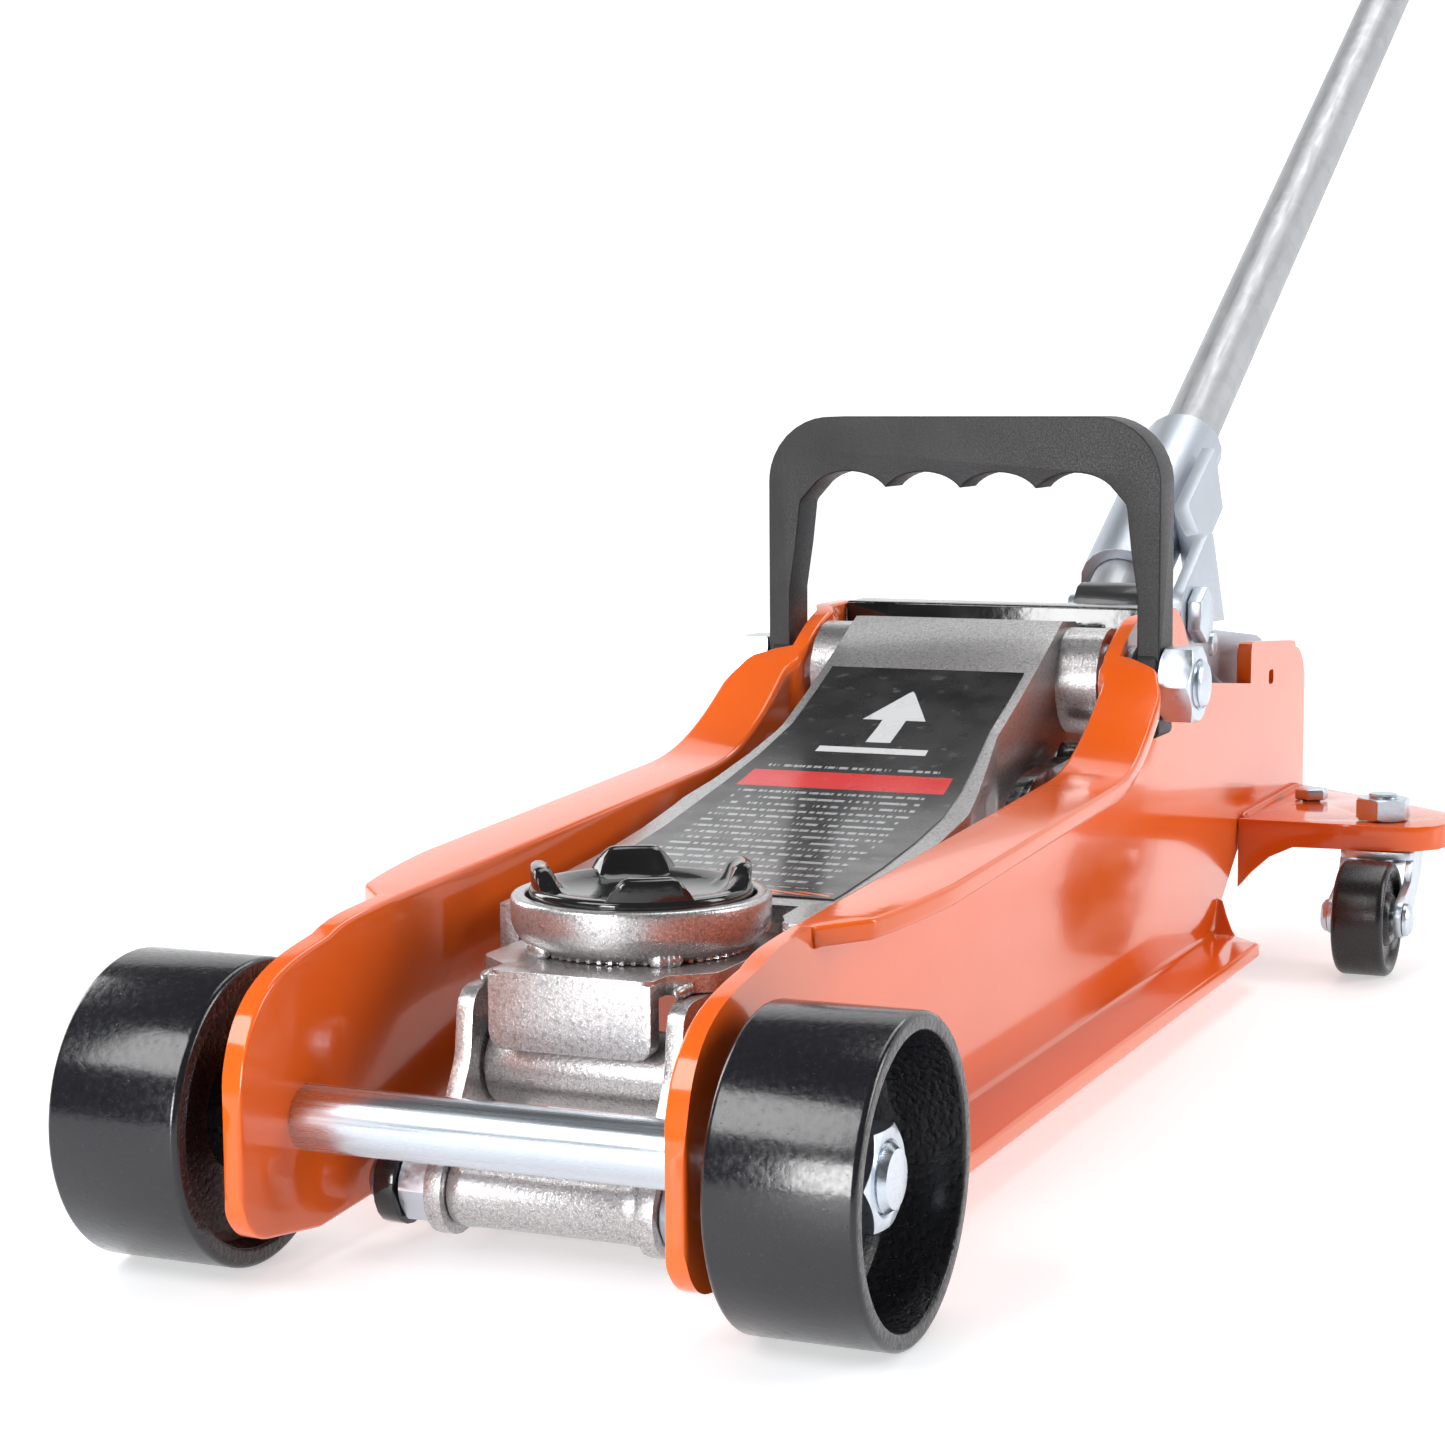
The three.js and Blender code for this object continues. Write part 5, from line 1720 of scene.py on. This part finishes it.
@dataclass
class Studio:
    """A pale floor, soft lights, and the camera."""

    focal: float = 75.5
    sensor: float = 36.0
    eye: Triple = (0.3003, -1.1136, 0.1996)
    azimuth: float = 23.5
    elevation: float = 6.58
    roll: float = -0.37
    floor_size: float = 9.0
    wall: float = 6.0
    wall_height: float = 6.0
    curve: float = 2.5
    glow: float = 0.52
    wall_glow: float = 0.8
    far: tuple[float, float] = (0.9, 4.5)
    paper: Colour = (0.66, 0.67, 0.69)
    paper_roughness: float = 0.5
    sky: float = 0.12
    aim: Triple = (0.0, -0.1, 0.05)
    lamps: tuple[tuple[str, Triple, tuple[float, float], float], ...] = (
        ("front_box", (-0.9, -2.0, 1.7), (1.4, 1.1), 36),
        ("low_strip", (-0.3, -2.3, 0.4), (0.5, 0.6), 19),
        ("left_box", (-1.9, 0.0, 0.9), (0.7, 1.6), 22),
        ("right_box", (2.0, 0.3, 1.0), (0.7, 1.4), 24),
        ("overhead", (0.1, 0.6, 1.9), (0.8, 1.8), 15),
    )

    def camera(self) -> None:
        """Sets the camera and its aim."""
        data = bpy.data.cameras.new("camera")
        data.lens = self.focal
        data.sensor_width = self.sensor
        data.clip_start = 0.01
        camera = bpy.data.objects.new("camera", data)
        bpy.context.scene.collection.objects.link(camera)
        camera.location = self.eye
        a, e = math.radians(self.azimuth), math.radians(self.elevation)
        look = Vector((-math.sin(a) * math.cos(e), math.cos(a) * math.cos(e), -math.sin(e)))
        facing = look.to_track_quat("-Z", "Y").to_matrix()
        camera.rotation_euler = (facing @ Matrix.Rotation(math.radians(self.roll), 3, UP)).to_euler()
        bpy.context.scene.camera = camera

    def light(self, name: str, place: Triple, size: tuple[float, float], power: float) -> None:
        """Adds a soft box that faces the jack.

        Args:
            name: The light's name.
            place: Where it stands, in metres.
            size: Its width and height.
            power: Its power in watts.
        """
        data = bpy.data.lights.new(name, "AREA")
        data.shape = "RECTANGLE"
        data.size, data.size_y = size
        data.energy = power
        lamp = bpy.data.objects.new(name, data)
        bpy.context.scene.collection.objects.link(lamp)
        lamp.location = place
        lamp.rotation_euler = (Vector(self.aim) - Vector(place)).to_track_quat("-Z", "Y").to_euler()

    def backdrop(self) -> None:
        """Lays the floor, which curves up into a wall far behind the jack."""
        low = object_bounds()[0].z
        sweep = [(-self.floor_size, 0.0), (self.wall - self.curve, 0.0)]
        sweep += arc(self.wall - self.curve, self.curve, self.curve, -90, 0, 16)[1:]
        sweep += [(self.wall, self.wall_height)]
        half = self.floor_size
        rows = [[Vector((x, y, z + low)) for x in (-half, half)] for y, z in sweep]
        paper = smooth(lofted("studio_sweep", rows), 60)
        material = bpy.data.materials.new("pale_paper")
        material.use_nodes = True
        surface = next(n for n in material.node_tree.nodes if n.type == "BSDF_PRINCIPLED")
        surface.inputs["Base Color"].default_value = (*self.paper, 1)
        surface.inputs["Roughness"].default_value = self.paper_roughness
        surface.inputs["Emission Color"].default_value = (1, 1, 1, 1)
        place = material.node_tree.nodes.new("ShaderNodeTexCoord").outputs["Object"]
        split = material.node_tree.nodes.new("ShaderNodeSeparateXYZ")
        grow = material.node_tree.nodes.new("ShaderNodeMapRange")
        grow.inputs["From Min"].default_value, grow.inputs["From Max"].default_value = self.far
        grow.inputs["To Min"].default_value, grow.inputs["To Max"].default_value = self.glow, self.wall_glow
        material.node_tree.links.new(place, split.inputs["Vector"])
        material.node_tree.links.new(split.outputs["Y"], grow.inputs["Value"])
        material.node_tree.links.new(grow.outputs["Result"], surface.inputs["Emission Strength"])
        paper.data.materials.append(material)
        paper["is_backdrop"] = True

    def build(self) -> None:
        """Sets the floor, the world and the lights."""
        self.backdrop()
        world = bpy.data.worlds.new("studio")
        bpy.context.scene.world = world
        world.use_nodes = True
        sky = next(n for n in world.node_tree.nodes if n.type == "BACKGROUND")
        sky.inputs["Color"].default_value = (1, 1, 1, 1)
        sky.inputs["Strength"].default_value = self.sky
        for lamp in self.lamps:
            self.light(*lamp)
        bpy.context.scene.view_settings.view_transform = "Standard"


def main() -> None:
    """Builds the sub-assemblies in order, then the studio, and reports every piece."""
    logging.basicConfig(level=logging.INFO, format="%(message)s")
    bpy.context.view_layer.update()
    studio = Studio()
    studio.camera()
    finishes = Finishes()
    kinds: list[Callable[..., SubAssembly]] = [
        SidePlates, FrontAxle, MainPivot, LiftArm, SaddleBracket, Saddle, LinkBars, HydraulicUnit, PumpHandle,
        CarryHandle, RearCasters,
    ]
    for kind in kinds:
        assembly = kind(finishes)
        assembly.build()
        assembly.report()
    studio.build()


if __name__ == "__main__":
    main()
